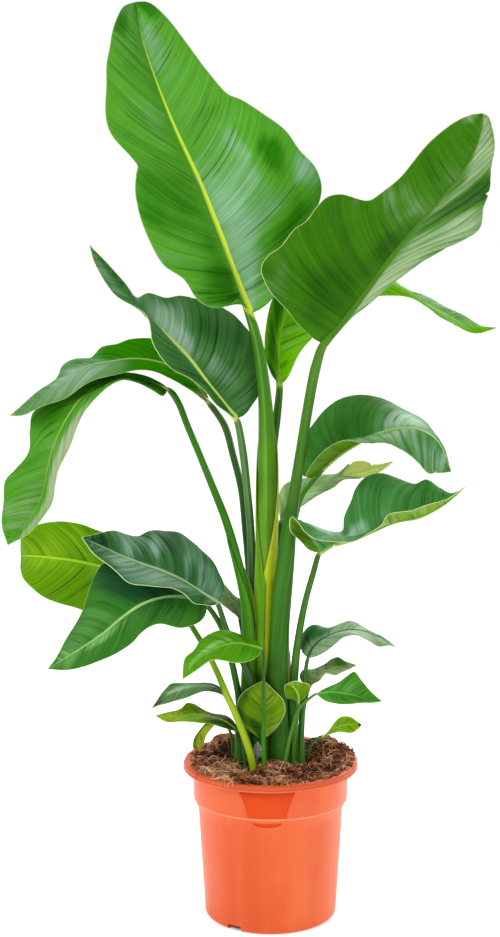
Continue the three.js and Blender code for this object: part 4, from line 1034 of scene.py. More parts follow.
# %% Looks of the middle storey
LOOKS |= {
    "leaf_right_arching": look(
        "1E6606 3C7A2C 98BC9C", "386404 588608 90B030", "A4C45C", "407C1C 2E6A10",
        pleat=(0.22, 0.4), pleat_length=14, crease_gap=(14, 14),
        spots=[(0.25, -0.5, 0.16, 0.6, -0.35), (0.58, -0.45, 0.12, 0.4, 0.7), (0.45, -0.15, 0.1, 0.2, 0.2),
         (0.75, 0.5, 0.2, 0.6, 0.3), (0.92, 0, 0.08, 1, 0.3)]),
    "leaf_right_narrow": look(
        "548450 A8C49C CCDCC0", "8CAC6C C0D494 D4DCA0", "C4C878", "2C5C18 2E681A",
        pleat=(0.35, 0.35), pleat_length=9, row=1.5, columns=16, glow=0.2, tip=("E4E4A0", 0.57),
        spots=[(0.1, 0, 0.15, 1.2, 0.4), (0.4, 0.4, 0.12, 0.5, 0.3)]),
    "leaf_right_boat": look(
        "246814 4A8E44 A4CCB4", "4A7408 6C941C B4CC74", "94BC68", "3C601C 3E7A20",
        pleat=(0.15, 0.3), pleat_length=11, row=1.6, columns=22, margin=1.0,
        spots=[(0.28, -0.2, 0.1, 0.3, 0.9), (0.5, -0.7, 0.2, 0.4, -0.1), (0.12, -0.8, 0.1, 0.4, 0.5),
         (0.06, 0.5, 0.12, 0.5, -1.2), (0.75, -0.5, 0.15, 0.5, -0.3)]),
    "leaf_left_blue": look(
        "123C1C 2E6230 749A80", "2E5C38 5A8460 8CA890", "98B884", "305C22 2A5A20",
        pleat=(0.25, 0.4), pleat_length=13, crease_gap=(10, 10), row=1.6, columns=22, glow=0.06, margin=1.0,
        spots=[(0.46, 0.55, 0.04, 0.3, 0.7), (0.26, 0.45, 0.04, 0.4, 0.6), (0.66, 0.45, 0.05, 0.4, 0.5),
         (0.56, 0.3, 0.05, 0.3, -0.4), (0.36, 0.8, 0.08, 0.3, -0.5), (0.5, -0.5, 0.5, 0.5, 0.6),
         (0.12, 0.4, 0.08, 0.5, 0.8), (0.85, 0.4, 0.08, 0.5, -0.5)]),
    "leaf_left_young": look(
        "4C8C00 74A404 A4C824", "4E8C04 6C9C06 94B81C", "B0D03C", "5E8E20 A4C014",
        pleat=(0.1, 0.1), row=1.7, columns=22, glow=0.36,
        spots=[(0.8, 0, 0.15, 0.7, 0.3), (0.4, -0.7, 0.2, 0.4, -0.3), (0.5, 0.2, 0.3, 0.6, 0.55)]),
    "leaf_left_pointed": look(
        "184C28 387A24 78B060", "2E6E28 4C8A3C 80AC68", "9CC878", "2E6A14 3A7A1A",
        pleat=(0.12, 0.12), row=1.7, columns=22,
        spots=[(0.3, 0.55, 0.17, 0.55, -1.2), (0.88, 0, 0.14, 1, 0.6), (0.62, -0.18, 0.12, 0.22, 0.9),
         (0.2, -0.5, 0.15, 0.5, -0.3), (0.62, 0.5, 0.1, 0.4, 0.2)]),
}
print(len(LOOKS), "looks")

# %% Looks of the small leaves and the dead sheath
LOOKS |= {
    "leaf_small_front": look(
        "347E04 52980C 8CC060", "3C841A 60A034 90C060", "7CB83C", "1A4E06 3C8C10",
        pleat=(0.08, 0.08), pleat_length=12, row=1.5, columns=16, margin=0.7,
        spots=[(0.55, 0.25, 0.24, 0.14, 0.6), (0.75, 0, 0.12, 0.3, 0.3), (0.1, 0, 0.14, 1, -0.4),
         (0.35, -0.6, 0.2, 0.4, -0.2)]),
    "leaf_small_left_high": look(
        "24521C 5C8250 A0BC98", "345C28 6A8C5C 9CB48C", "9CBE86", "24521A 2E681C",
        pleat=(0.12, 0.12), pleat_length=12, row=1.5, columns=14,
        spots=[(0.6, 0.1, 0.2, 0.3, 0.8), (0.9, 0, 0.1, 1, -0.9), (0.16, 0, 0.14, 1.2, -1.0),
         (0.45, 0.8, 0.2, 0.3, -0.5)]),
    "leaf_small_left_low": look(
        "36560E 7CA414 B0CC40", "4C6C14 7C9C2C A8C450", "A2C45C", "1F5010 26581A",
        pleat=(0.12, 0.12), pleat_length=12, row=1.5, columns=14, glow=0.25,
        spots=[(0.15, 0, 0.2, 1, -1.1), (0.4, 0.7, 0.2, 0.4, -0.5), (0.8, 0, 0.2, 1, 0.5)]),
    "leaf_small_rim": look(
        "4E7C0C 9CBC20 DCD458", "4E7C10 9CB828 DCD468", "C8D45C", "4C6C1C 6C802C",
        pleat=(0.2, 0.2), pleat_length=9, row=1.3, columns=10, glow=0.35, tip=("C08A30", 0.84),
        spots=[(0.6, 0.95, 0.5, 0.25, -1.1), (0.55, -0.6, 0.5, 0.5, 0.6), (0.3, 0.1, 0.3, 0.5, 0.4)]),
    "leaf_small_cupped": look(
        "2E5C06 6E980C A4C048", "486E0C 7CA01E A4BC3C", "5C8A24", "2A600A 3C7A14",
        pleat=(0.06, 0.1), pleat_length=14, row=1.5, columns=16, glow=0.16, margin=1.0,
        spots=[(0.1, -0.3, 0.22, 0.4, -1.3), (0.72, -0.4, 0.2, 0.3, 0.5), (0.45, 0.05, 0.5, 0.08, -1.0),
         (0.7, 0.5, 0.25, 0.4, 0.6), (0.3, 0.7, 0.2, 0.3, 0.2), (0.45, -0.9, 0.3, 0.2, -0.6)]),
    "leaf_small_right": look(
        "2E7414 4A922A 80B870", "347C28 58984C 8CB878", "78B868", "3C701C 5C8A34",
        pleat=(0.08, 0.08), pleat_length=12, row=1.5, columns=14,
        spots=[(0.35, -0.3, 0.2, 0.4, 0.5), (0.85, 0, 0.12, 1, -0.4), (0.5, 0.5, 0.3, 0.4, -0.2)]),
    "leaf_small_scoop": look(
        "3E780C 6A9C14 A4C83C", "447C0C 70A012 A8CC44", "9CC64C", "3E7A14 4A8A20",
        pleat=(0.06, 0.06), pleat_length=9, row=1.2, columns=10, glow=0.25, margin=1.0,
        spots=[(0.3, 0, 0.3, 0.6, -0.4), (0.8, 0.4, 0.2, 0.5, 0.5)]),
    "leaf_small_right_high": look(
        "2C6430 7C9C74 A8BCA0", "406C38 7C9C70 A4B898", "3C6030", "2E6220 44741C",
        pleat=(0.15, 0.15), pleat_length=14, row=1.5, columns=16, tip=("C9BC92", 0.94),
        spots=[(0.2, -0.6, 0.15, 0.45, -0.9), (0.25, 0.4, 0.2, 0.45, 0.2), (0.6, 0.3, 0.3, 0.5, 0.6),
         (0.8, -0.5, 0.15, 0.5, -0.5)]),
    "leaf_small_twisted": look(
        "3E7418 88A068 B8C494", "5C8430 98AC74 C0CC98", "A6B870", "2F6218 3E7428",
        pleat=(0.25, 0.25), pleat_length=11, row=1.4, columns=12, tip=("C2BC86", 0.93),
        spots=[(0.72, -0.4, 0.16, 0.9, -0.9), (0.2, 0, 0.25, 1, 0.5)]),
    "leaf_small_soil": look(
        "5C9008 8CB814 B8D048", "5C8C14 84B02C B4D464", "A8CC5C", "3E7438 4E8244",
        pleat=(0.1, 0.1), pleat_length=9, row=1.3, columns=10, glow=0.3, tip=("2C2114", 0.88),
        spots=[(0.7, 0.3, 0.2, 0.5, -0.4), (0.3, 0, 0.2, 0.6, 0.3)]),
    "leaf_small_hidden": look(
        "4C7A30 8CA878 B8C8A4", "5C8444 9CB084 C4D0AC", "B0C48C", "2C5816 38682A",
        pleat=(0.3, 0.3), pleat_length=11, row=1.4, columns=12),
    "dry_sheath": look(
        "5C5C60 8C8E90 C4C6C4", "6C6458 948C80 C4BCB0", "B4B0B0", "8C7C64 B4A284",
        pleat=(0.25, 0.25), pleat_length=5, row=1.0, columns=6),
}
print(len(LOOKS), "looks")

# %% [markdown]
# ## The finish of a blade
#
# A leaf is waxy: smooth, but with a soft gloss only. Its green runs between its deep and its pale
# tint, by the painted spots of sheen and shade, by wide soft patches and by narrow bands that follow
# the veins. The grooves between the veins get painted shade and the crests a little painted light,
# and the sharp creases get dark painted shade. Thin blades glow when light comes from behind, which
# the Translucent shader does, and the very margin is pale and dry. Most values of a noise lie
# between 0.3 and 0.7, so that is the range stretched.

# %% Helpers of the leaf materials
NOISE_RANGE = (0.3, 0.7)
LEAF_IOR = 1.45
LEAF_BUMP_DISTANCE = 0.0005
OFFSET_ASIDE = 0.7


def leaf_facts(tree):
    """What the points carry: their place, and then place, marks and paint value by value."""
    read = [add(tree, "Attribute", {"attribute_name": fact}).outputs["Vector"] for fact in FACTS]
    return read[0], *(add(tree, "SeparateXYZ", Vector=fact).outputs for fact in read)


def vein_noise(tree, place, scale, offset, detail=2.0):
    """A noise that is stretched along the veins. scale is per millimetre, across and along them."""
    spot = add(tree, "Mapping", Vector=place, Scale=(*scale, 0),
               Location=(offset, offset * OFFSET_ASIDE, 0)).outputs[0]
    return add(tree, "TexNoise", Vector=spot, Scale=1.0, Detail=detail).outputs["Fac"]


def three_greens(tree, tone, tints):
    """The deepest green at tone -1, the usual one at 0, the palest, the painted sheen's tint, at 1."""
    deep, usual, pale = (linear(code) for code in tints)
    lower = mix_colours(tree, ramp(tree, tone, -1, 0), deep, usual)
    return mix_colours(tree, ramp(tree, tone, 0, 1), lower, pale)


def shaded(tree, colour, shade):
    """A colour made darker or lighter by a factor."""
    return add(tree, "VectorMath", {"operation": "SCALE"}, i0=colour, Scale=shade).outputs[0]


def waxy(tree, colour, roughness, gloss, height, relief):
    """A waxy skin that a height roughens a little: its shader, and the normals it has."""
    bump = add(tree, "Bump", Strength=relief, Distance=LEAF_BUMP_DISTANCE, Height=height).outputs[0]
    skin = add(tree, "BsdfPrincipled", Base_Color=colour, Roughness=roughness, IOR=LEAF_IOR,
               Specular_IOR_Level=gloss, Normal=bump)
    return skin.outputs[0], bump


print("wax bends light by", LEAF_IOR)

# %% Blade material
PATCH_SCALE = 14.0
PATCHES_APART = 3.7
PATCH_TONES = (-0.24, 0.24)
BAND_STRETCH = (0.1, 0.006)
BANDS_APART = 11.0
BAND_TONES = (-0.22, 0.22)
BAND_ROUGHNESS = (0.36, 0.46)
LINE_STRETCH = (0.5, 0.01)
LINES_APART = 5.0
LINE_SHADES = (0.84, 1.12)
LINE_RELIEF = 0.3
GROOVE_TO_CREST = (-0.7, 0.5)
GROOVE_PAINTED_SHADE_AND_LIGHT = (0.66, 1.1)
CREASE_SHOWS = (0.1, 1.0)
CREASE_PAINTED_SHADES = (1.0, 0.45)
RIB_SHOWS = (0.02, 0.42)
BASE_SHARE = 0.85
TIP_BLEND = 0.05
MARGIN_TINT = "D4E0A0"
MARGIN_WIDTHS = (0.15, 1.0)
MARGIN_SHARE = 0.5
THROUGH_TINT = (1.25, 1.5, 0.35)


def end_tints(tree, green, along, finish):
    """A green with the dry tints that some leaves have at their base or at their tip."""
    if "base" in finish:
        base_tint, end = finish["base"]
        dry_base = ramp(tree, along, end * 0.5, end, BASE_SHARE, 0)
        green = mix_colours(tree, dry_base, green, linear(base_tint))
    if "tip" in finish:
        tip_tint, start = finish["tip"]
        green = mix_colours(tree, ramp(tree, along, start, start + TIP_BLEND), green, linear(tip_tint))
    return green


def blade_material(name, finish, number):
    """The finish of one leaf's blade."""
    material, tree, output = start_material(name + "_blade")
    place, (_, _, edge), (upper, relief, rib), (tone, along, sharp) = leaf_facts(tree)
    spot = add(tree, "TexCoord").outputs["Object"]
    patches = add(tree, "TexNoise", {"noise_dimensions": "4D"}, Vector=spot, W=number * PATCHES_APART,
                  Scale=PATCH_SCALE, Detail=2.0).outputs["Fac"]
    bands = vein_noise(tree, place, BAND_STRETCH, number * BANDS_APART, 3.0)
    lines = vein_noise(tree, place, LINE_STRETCH, number * LINES_APART)
    # The spots' tone is painted sheen where pale and in places painted shade where deep; patches and bands
    # vary it at random.
    tone = sum_of(tree, tone, ramp(tree, patches, *NOISE_RANGE, *PATCH_TONES))
    tone = sum_of(tree, tone, ramp(tree, bands, *NOISE_RANGE, *BAND_TONES))
    green = mix_colours(tree, upper, three_greens(tree, tone, finish["lower_face"]),
                        three_greens(tree, tone, finish["upper_face"]))
    # Painted shade in the grooves and creases, and painted light on the crests.
    shade = product_of(tree, ramp(tree, relief, *GROOVE_TO_CREST, *GROOVE_PAINTED_SHADE_AND_LIGHT),
                       ramp(tree, lines, *NOISE_RANGE, *LINE_SHADES))
    shade = product_of(tree, shade, ramp(tree, sharp, *CREASE_SHOWS, *CREASE_PAINTED_SHADES))
    green = shaded(tree, green, shade)
    rib_share = ramp(tree, rib, *RIB_SHOWS)
    if "rib_fades" in finish:
        rib_share = product_of(tree, rib_share, ramp(tree, along, *finish["rib_fades"], 1, 0))
    green = mix_colours(tree, rib_share, green, linear(finish["rib_tint"]))
    green = end_tints(tree, green, along, finish)
    pale_margin = ramp(tree, edge, *MARGIN_WIDTHS, finish.get("margin", MARGIN_SHARE), 0.0)
    green = mix_colours(tree, pale_margin, green, linear(MARGIN_TINT))
    roughness = ramp(tree, bands, *NOISE_RANGE, *BAND_ROUGHNESS)
    wax, bump = waxy(tree, green, roughness, finish["gloss"], lines, LINE_RELIEF)
    lit = add(tree, "VectorMath", {"operation": "MULTIPLY"}, i0=green, i1=THROUGH_TINT).outputs[0]
    through = add(tree, "BsdfTranslucent", Color=lit, Normal=bump)
    both = add(tree, "MixShader", i0=finish["glow"], i1=wax, i2=through.outputs[0])
    tree.links.new(both.outputs[0], output.inputs["Surface"])
    return material


print("grooves are shaded by", GROOVE_PAINTED_SHADE_AND_LIGHT[0], "and crests by", GROOVE_PAINTED_SHADE_AND_LIGHT[1])

# %% Stem material
STREAK_STRETCH = (0.004, 0.4)
STREAKS_APART = 7.0
STREAK_SHADES = (0.88, 1.1)
STREAK_RELIEF = 0.12
STEM_PATCH_STRETCH = (0.02, 0.05)
STEM_PATCHES_APART = 2.3
STEM_PATCH_SHADES = (0.86, 1.12)
FOOT_TO_TOP = (0.1, 0.9)
GUTTER_EDGE_TINT_AND_HIGHLIGHT = "B8CC6A"
GUTTER_EDGE_TINTED = (0.3, 0.95)
GUTTER_EDGE_SHARE = 0.3
RIB_LEAD_SHARE = 0.9
STEM_ROUGHNESS = 0.38
STEM_GLOSS = 0.18


def stem_material(name, finish, number):
    """The finish of one leaf's stem: lengthwise streaks, its own tints at foot and top, pale gutter
    edges that are partly a painted highlight line, and the midrib's tint where it runs into the blade."""
    material, tree, output = start_material(name + "_stem")
    place, _, (_, _, gutter_edge), (_, along, lead) = leaf_facts(tree)
    streaks = vein_noise(tree, place, STREAK_STRETCH, number * STREAKS_APART, 3.0)
    patches = vein_noise(tree, place, STEM_PATCH_STRETCH, number * STEM_PATCHES_APART)
    top, foot = (linear(code) for code in finish["stem_tint"])
    green = mix_colours(tree, ramp(tree, along, *FOOT_TO_TOP), foot, top)
    shade = product_of(tree, ramp(tree, streaks, *NOISE_RANGE, *STREAK_SHADES),
                       ramp(tree, patches, *NOISE_RANGE, *STEM_PATCH_SHADES))
    green = shaded(tree, green, shade)
    # Pale gutter edges: partly the stem's own paler edge, partly a painted highlight line.
    pale_and_lit_edge = ramp(tree, gutter_edge, *GUTTER_EDGE_TINTED, 0, GUTTER_EDGE_SHARE)
    green = mix_colours(tree, pale_and_lit_edge, green, linear(GUTTER_EDGE_TINT_AND_HIGHLIGHT))
    green = mix_colours(tree, ramp(tree, lead, 0, 1, 0, RIB_LEAD_SHARE), green, linear(finish["rib_tint"]))
    wax, _ = waxy(tree, green, STEM_ROUGHNESS, STEM_GLOSS, streaks, STREAK_RELIEF)
    tree.links.new(wax, output.inputs["Surface"])
    return material


print("stems are rough by", STEM_ROUGHNESS)

# %% Sheath material
SHEATH_STRETCH = (0.005, 0.14)
SHEATHS_APART = 9.0
SHEATH_STREAKS = (0.34, 0.66)
SHEATH_RELIEF = 0.25
SHEATH_ROUGHNESS = 0.4
SHEATH_GLOSS = 0.15
SHEATH_GLOW = 0.2
DRY_EDGE = (0.4, 2.2)
DRY_SHARE = 0.8
DRY_SIDES = (0.2, 0.8)
FAR_DRY_SHARE = 0.3
YELLOW_SIDE = (0.14, 0.3)
YELLOW_OPENING = (-0.1, 0.06)


def sheath_material(name, tints, number):
    """The thin wings of a stem: green on one side, yellow on the other, with a dry edge."""
    material, tree, output = start_material(name + "_sheath")
    place, (_, _, edge), _, (side, opening, _) = leaf_facts(tree)
    streaks = vein_noise(tree, place, SHEATH_STRETCH, number * SHEATHS_APART, 3.0)
    deep, light, far, margin = (linear(code) for code in tints)
    green = mix_colours(tree, ramp(tree, streaks, *SHEATH_STREAKS), deep, light)
    yellow = product_of(tree, ramp(tree, side, *YELLOW_SIDE, 1, 0), ramp(tree, opening, *YELLOW_OPENING))
    green = mix_colours(tree, yellow, green, far)
    dry = product_of(tree, ramp(tree, edge, *DRY_EDGE, DRY_SHARE, 0.0),
                     ramp(tree, side, *DRY_SIDES, 1, FAR_DRY_SHARE))
    green = mix_colours(tree, dry, green, margin)
    wax, _ = waxy(tree, green, SHEATH_ROUGHNESS, SHEATH_GLOSS, streaks, SHEATH_RELIEF)
    through = add(tree, "BsdfTranslucent", Color=green)
    both = add(tree, "MixShader", i0=SHEATH_GLOW, i1=wax, i2=through.outputs[0])
    tree.links.new(both.outputs[0], output.inputs["Surface"])
    return material


print("a sheath's edge is dry over", DRY_EDGE[1], "mm")

# %% [markdown]
# ## Building the leaves
#
# Now every leaf is built from its paths and its look. Only the thick stems carry a sheath that
# shows. Its opening is given by the side it faces, in degrees round from the front, and by the
# heights of its top, of where it closes, and of its foot. Its four tints are the deep and the
# light green, the far side's tint and the dry edge's. A few margins have small tears: the side,
# the share of the rib, how deep and how wide.

# %% Sheaths and tears
SHEATHS = {
    "leaf_tall": {"facing": -9, "top": 600, "closed": 412, "foot": 176, "flare": 1.1,
                  "tints": "58980C 7CB01C C4D418 CCB058"},
    "leaf_upper_right": {"facing": 150, "top": 520, "closed": 300, "foot": 176, "flare": 1.0,
                         "tints": "2A6410 447E24 447E24 8CA05C"},
    "leaf_left_hanging": {"facing": 70, "top": 480, "closed": 330, "foot": 178, "flare": 2.5,
                          "tints": "307408 4C8A12 8CB414 9CB83C"},
    "leaf_right_arching": {"facing": 285, "top": 330, "closed": 236, "foot": 178, "flare": 3.0,
                           "tints": "3A7A1A 5A9428 8C8430 A8844C"},
}
NICKS = {
    "leaf_upper_right": [(1, 0.60, 7, 0.007), (-1, 0.06, 3, 0.02)],
    "leaf_upper_left": [(1, 0.03, 4, 0.02)],
    "leaf_right_narrow": [(-1, 0.62, 4, 0.02), (-1, 0.8, 3, 0.015)],
    "leaf_right_arching": [(1, 0.86, 3, 0.012)],
}
print(len(SHEATHS), "sheaths, and tears on", len(NICKS), "leaves")

# %% Leaves
for order, leaf in enumerate([*UPPER_LEAVES, *MIDDLE_LEAVES, *SMALL_LEAVES]):
    name = leaf["name"]
    leaf.update(LOOKS[name])
    leaf["nicks"] = NICKS.get(name, [])
    blocks = [blade_block(leaf, order), stem_block(leaf)]
    materials = [blade_material(name, leaf, order), stem_material(name, leaf, order)]
    if name in SHEATHS:
        blocks.append(sheath_block(leaf, SHEATHS[name]))
        materials.append(sheath_material(name, SHEATHS[name]["tints"].split(), order))
    piece = make_piece(name + "_fine", blocks, materials)
    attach(piece, "root")
    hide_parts(name)
    print(piece.name, triangle_count(piece), "triangles")

# %% [markdown]
# ## The pot
#
# The nursery pot is moulded in one thin wall: a rim that is turned outwards, a straight collar, a
# small step, and a tapering body with a rounded foot. It is a turned shape, so one outline is spun
# round the axis. The drain notches, the smooth panel and the half-moon tab are cut with Booleans,
# which keeps their edges crisp.

# %% Pot outline
POT_HEIGHT = 192
RIM_RADIUS = 106.5
RIM_LIP = 8.5
RIM_ROUNDING = 3.4
LIP_ROUNDING = 1.1
UNDER_RIM_ROUNDING = 1.4
MOUTH_ROUNDING = 1.6
COLLAR_RADIUS = 94
COLLAR_FOOT = 146
COLLAR_ROUNDING = 0.9
SHOULDER_RADIUS = 93
SHOULDER_DROP = 14
SHOULDER_STEPS = 8
SHOULDER_BEND = 1.15
BODY_TOP_RADIUS = 88
BODY_FOOT_RADIUS = 80.5
FOOT_ROUNDING = 5
FOOT_RING_RADIUS = 77
FOOT_RING_WIDTH = 4
BEVEL = 0.4
WALL = 1.8
FLOOR_LIFT = 4
BOSS_RADIUS = 9


def arc(centre_radius, centre_height, radius, start, end, steps):
    """Points of an outline along a round, by angles in degrees."""
    angles = [math.radians(start + (end - start) * step / steps) for step in range(steps + 1)]
    return [(centre_radius + radius * math.cos(a), centre_height + radius * math.sin(a)) for a in angles]


def shoulder_radius(rise):
    """Radius of the sloping shoulder under the collar, for a rise from 0 to 1."""
    return BODY_TOP_RADIUS + (SHOULDER_RADIUS - BODY_TOP_RADIUS) * rise ** SHOULDER_BEND


COLLAR_TOP_RADIUS = COLLAR_RADIUS + 1
MOUTH_RADIUS = COLLAR_TOP_RADIUS - WALL
FOOT_CENTRE = BODY_FOOT_RADIUS - FOOT_ROUNDING
FOOT_RING_INSIDE = FOOT_RING_RADIUS - FOOT_RING_WIDTH
SHOULDER_FOOT = COLLAR_FOOT - SHOULDER_DROP
RIM_FOOT = POT_HEIGHT - RIM_LIP
POT_OUTLINE = [
    (0, 0), (BOSS_RADIUS - BEVEL, 0), (BOSS_RADIUS, BEVEL), (BOSS_RADIUS + 1, FLOOR_LIFT),
    (FOOT_RING_INSIDE - 1, FLOOR_LIFT), (FOOT_RING_INSIDE, BEVEL), (FOOT_RING_INSIDE + BEVEL, 0),
    *arc(FOOT_CENTRE, FOOT_ROUNDING, FOOT_ROUNDING, -74, 0, 10),
    *((shoulder_radius(step / SHOULDER_STEPS), SHOULDER_FOOT + SHOULDER_DROP * step / SHOULDER_STEPS)
      for step in range(SHOULDER_STEPS)),
    *arc(SHOULDER_RADIUS - 0.1, COLLAR_FOOT + BEVEL, COLLAR_ROUNDING, -70, 60, 6),
    (COLLAR_RADIUS - 0.1, COLLAR_FOOT + 2.2),
    (COLLAR_TOP_RADIUS - 0.15, RIM_FOOT - 1.6),
    *arc(COLLAR_TOP_RADIUS + 1.3, RIM_FOOT - UNDER_RIM_ROUNDING, UNDER_RIM_ROUNDING, 180, 90, 4),
    (RIM_RADIUS - LIP_ROUNDING, RIM_FOOT),
    *arc(RIM_RADIUS - LIP_ROUNDING, RIM_FOOT + LIP_ROUNDING, LIP_ROUNDING, -80, 0, 5),
    (RIM_RADIUS - 0.1, RIM_FOOT + 2.2), (RIM_RADIUS - 0.7, RIM_FOOT + 2.8),
    *arc(RIM_RADIUS - 0.7 - RIM_ROUNDING, POT_HEIGHT - RIM_ROUNDING, RIM_ROUNDING, 0, 90, 9),
    (MOUTH_RADIUS + 2.5, POT_HEIGHT),
    *arc(MOUTH_RADIUS + MOUTH_ROUNDING, POT_HEIGHT - MOUTH_ROUNDING, MOUTH_ROUNDING, 90, 180, 5),
    (COLLAR_RADIUS - WALL, COLLAR_FOOT + 1.5), (SHOULDER_RADIUS - WALL, COLLAR_FOOT - 0.7),
    (BODY_TOP_RADIUS - WALL, SHOULDER_FOOT - 0.7),
    (BODY_FOOT_RADIUS + 0.3 - WALL, FOOT_ROUNDING + 3), (FOOT_CENTRE + 3, FLOOR_LIFT + WALL),
    (0, FLOOR_LIFT + WALL),
]
print(len(POT_OUTLINE), "points in the outline")

# %% Spinning
POT_SIDES = 168


def finished(name, body):
    """An object from a bmesh."""
    mesh = bpy.data.meshes.new(name)
    body.to_mesh(mesh)
    body.free()
    return placed(name, mesh)


def spun(name, outline, sides):
    """A closed shape spun from an outline that starts and ends on the axis."""
    body = bmesh.new()
    angles = [2 * math.pi * side / sides for side in range(sides)]
    rings = []
    for radius, height in outline:
        turns = [0.0] if radius == 0 else angles
        rings.append([body.verts.new((radius * MM * math.cos(a), radius * MM * math.sin(a), height * MM))
                      for a in turns])
    for low, high in zip(rings, rings[1:]):
        for side in range(sides):
            beside = (side + 1) % sides
            corners = [low[side % len(low)], low[beside % len(low)],
                       high[beside % len(high)], high[side % len(high)]]
            body.faces.new(list(dict.fromkeys(corners)))
    bmesh.ops.recalc_face_normals(body, faces=body.faces)
    return finished(name, body)


pot = spun("pot_fine", POT_OUTLINE, POT_SIDES)
print("the spun pot has", triangle_count(pot), "triangles")

# %% Cutting helpers
SLAB_COLUMNS = 28


def curved_slab(name, rows, inner, outer):
    """A block bent round the pot's front. A row is its height and the x of its two ends; inner and
    outer give the block's radius at a height."""
    body = bmesh.new()
    layers = []
    for radius_at in (inner, outer):
        layer = []
        for height, start, end in rows:
            for column in range(SLAB_COLUMNS + 1):
                x = start + (end - start) * column / SLAB_COLUMNS
                depth = math.sqrt(radius_at(height) ** 2 - x ** 2)
                layer.append(body.verts.new((x * MM, -depth * MM, height * MM)))
        layers.append(layer)
    across = SLAB_COLUMNS + 1
    for layer in layers:
        for quad in grid_faces(len(rows), across):
            body.faces.new([layer[i] for i in quad])
    border = [int(i) for i in grid_border(len(rows), across)]
    for i, j in zip(border, border[1:] + border[:1]):
        body.faces.new([layers[0][i], layers[0][j], layers[1][j], layers[1][i]])
    bmesh.ops.recalc_face_normals(body, faces=body.faces)
    return finished(name, body)


def cut_away(piece, cutter):
    """Takes the cutter's space out of the piece, and removes the cutter."""
    cut = piece.modifiers.new("cut", "BOOLEAN")
    cut.operation = "DIFFERENCE"
    cut.solver = "EXACT"
    cut.object = cutter
    seen = piece.evaluated_get(bpy.context.evaluated_depsgraph_get())
    piece.data = bpy.data.meshes.new_from_object(seen)
    piece.modifiers.clear()
    bpy.data.objects.remove(cutter)


print("a slab is bent in", SLAB_COLUMNS, "columns")

# %% Drain notches
NOTCH_COUNT = 3
FIRST_NOTCH_ANGLE = -33
NOTCH_WIDTH = 19
NOTCH_HEIGHT = 8
NOTCH_DEPTH = 22
NOTCH_BELOW = 1

for notch in range(NOTCH_COUNT):
    body = bmesh.new()
    bmesh.ops.create_cube(body, size=MM)
    bmesh.ops.scale(body, vec=(NOTCH_WIDTH, NOTCH_DEPTH, NOTCH_HEIGHT), verts=body.verts)
    at = (0, -FOOT_RING_RADIUS * MM, (NOTCH_HEIGHT / 2 - NOTCH_BELOW) * MM)
    bmesh.ops.translate(body, vec=at, verts=body.verts)
    angle = math.radians(FIRST_NOTCH_ANGLE + notch * 360 / NOTCH_COUNT)
    bmesh.ops.rotate(body, matrix=Matrix.Rotation(angle, 3, "Z"), verts=body.verts)
    cut_away(pot, finished("notch", body))
print(NOTCH_COUNT, "notches")

# %% Panel and tab
PANEL_DEPTH = 0.6
PANEL_CENTRE_X = -4
PANEL_TOP_HALF = 34
PANEL_FOOT_HALF = 23
PANEL_TOP = 181.5
PANEL_FOOT = COLLAR_FOOT + 2.6
PANEL_BEND = 1.5
PANEL_STEPS = 14
TAB_HALF_WIDTH = 17
TAB_TOP = 142
TAB_DROP = 6
TAB_DEPTH = 0.9
TAB_POINT_HALF = 0.05
TAB_STEPS = 12
SLAB_OUTSIDE = 4


def collar_radius(height):
    """Radius of the collar's outside at a height."""
    rise = (height - COLLAR_FOOT) / (POT_HEIGHT - RIM_LIP - COLLAR_FOOT)
    return COLLAR_RADIUS + (COLLAR_TOP_RADIUS - COLLAR_RADIUS) * rise


def tab_radius(height):
    """Radius of the shoulder's outside at a height."""
    return shoulder_radius((height - SHOULDER_FOOT) / SHOULDER_DROP)


def panel_row(rise):
    """The panel at a rise from 0 to 1: its height, and where it starts and ends."""
    half = PANEL_FOOT_HALF + (PANEL_TOP_HALF - PANEL_FOOT_HALF) * rise ** PANEL_BEND
    return PANEL_FOOT + (PANEL_TOP - PANEL_FOOT) * rise, PANEL_CENTRE_X - half, PANEL_CENTRE_X + half


def tab_row(drop):
    """The half-moon tab at a drop under its straight top: its height, and where it starts and ends."""
    half = TAB_HALF_WIDTH * math.sqrt(1 - (drop / TAB_DROP) ** 2) + TAB_POINT_HALF
    return TAB_TOP - drop, PANEL_CENTRE_X - half, PANEL_CENTRE_X + half


panel_rows = [panel_row(step / PANEL_STEPS) for step in range(PANEL_STEPS + 1)]
tab_rows = [tab_row(TAB_DROP * step / TAB_STEPS) for step in range(TAB_STEPS, -1, -1)]
cut_away(pot, curved_slab("panel", panel_rows, lambda z: collar_radius(z) - PANEL_DEPTH,
                          lambda z: collar_radius(z) + SLAB_OUTSIDE))
cut_away(pot, curved_slab("tab", tab_rows, lambda z: tab_radius(z) - TAB_DEPTH,
                          lambda z: tab_radius(z) + SLAB_OUTSIDE))
print("pot", triangle_count(pot), "triangles")

# %% [markdown]
# ## The pot's plastic
#
# The plastic is dyed through. Most of the pot has a fine satin grain that scatters white light, so
# it looks a little chalky at the sides, while the panel and the tab are polished and show the full
# orange. Long faint pale streaks run up the wall: painted sheen, mixed with soft chalky clouds at
# random. The sharp step under the collar gets a pale painted highlight, the turned rim is deeper in
# tint, and the panel's top gets a painted shadow under the rim, so those are bands, each at its own
# height.

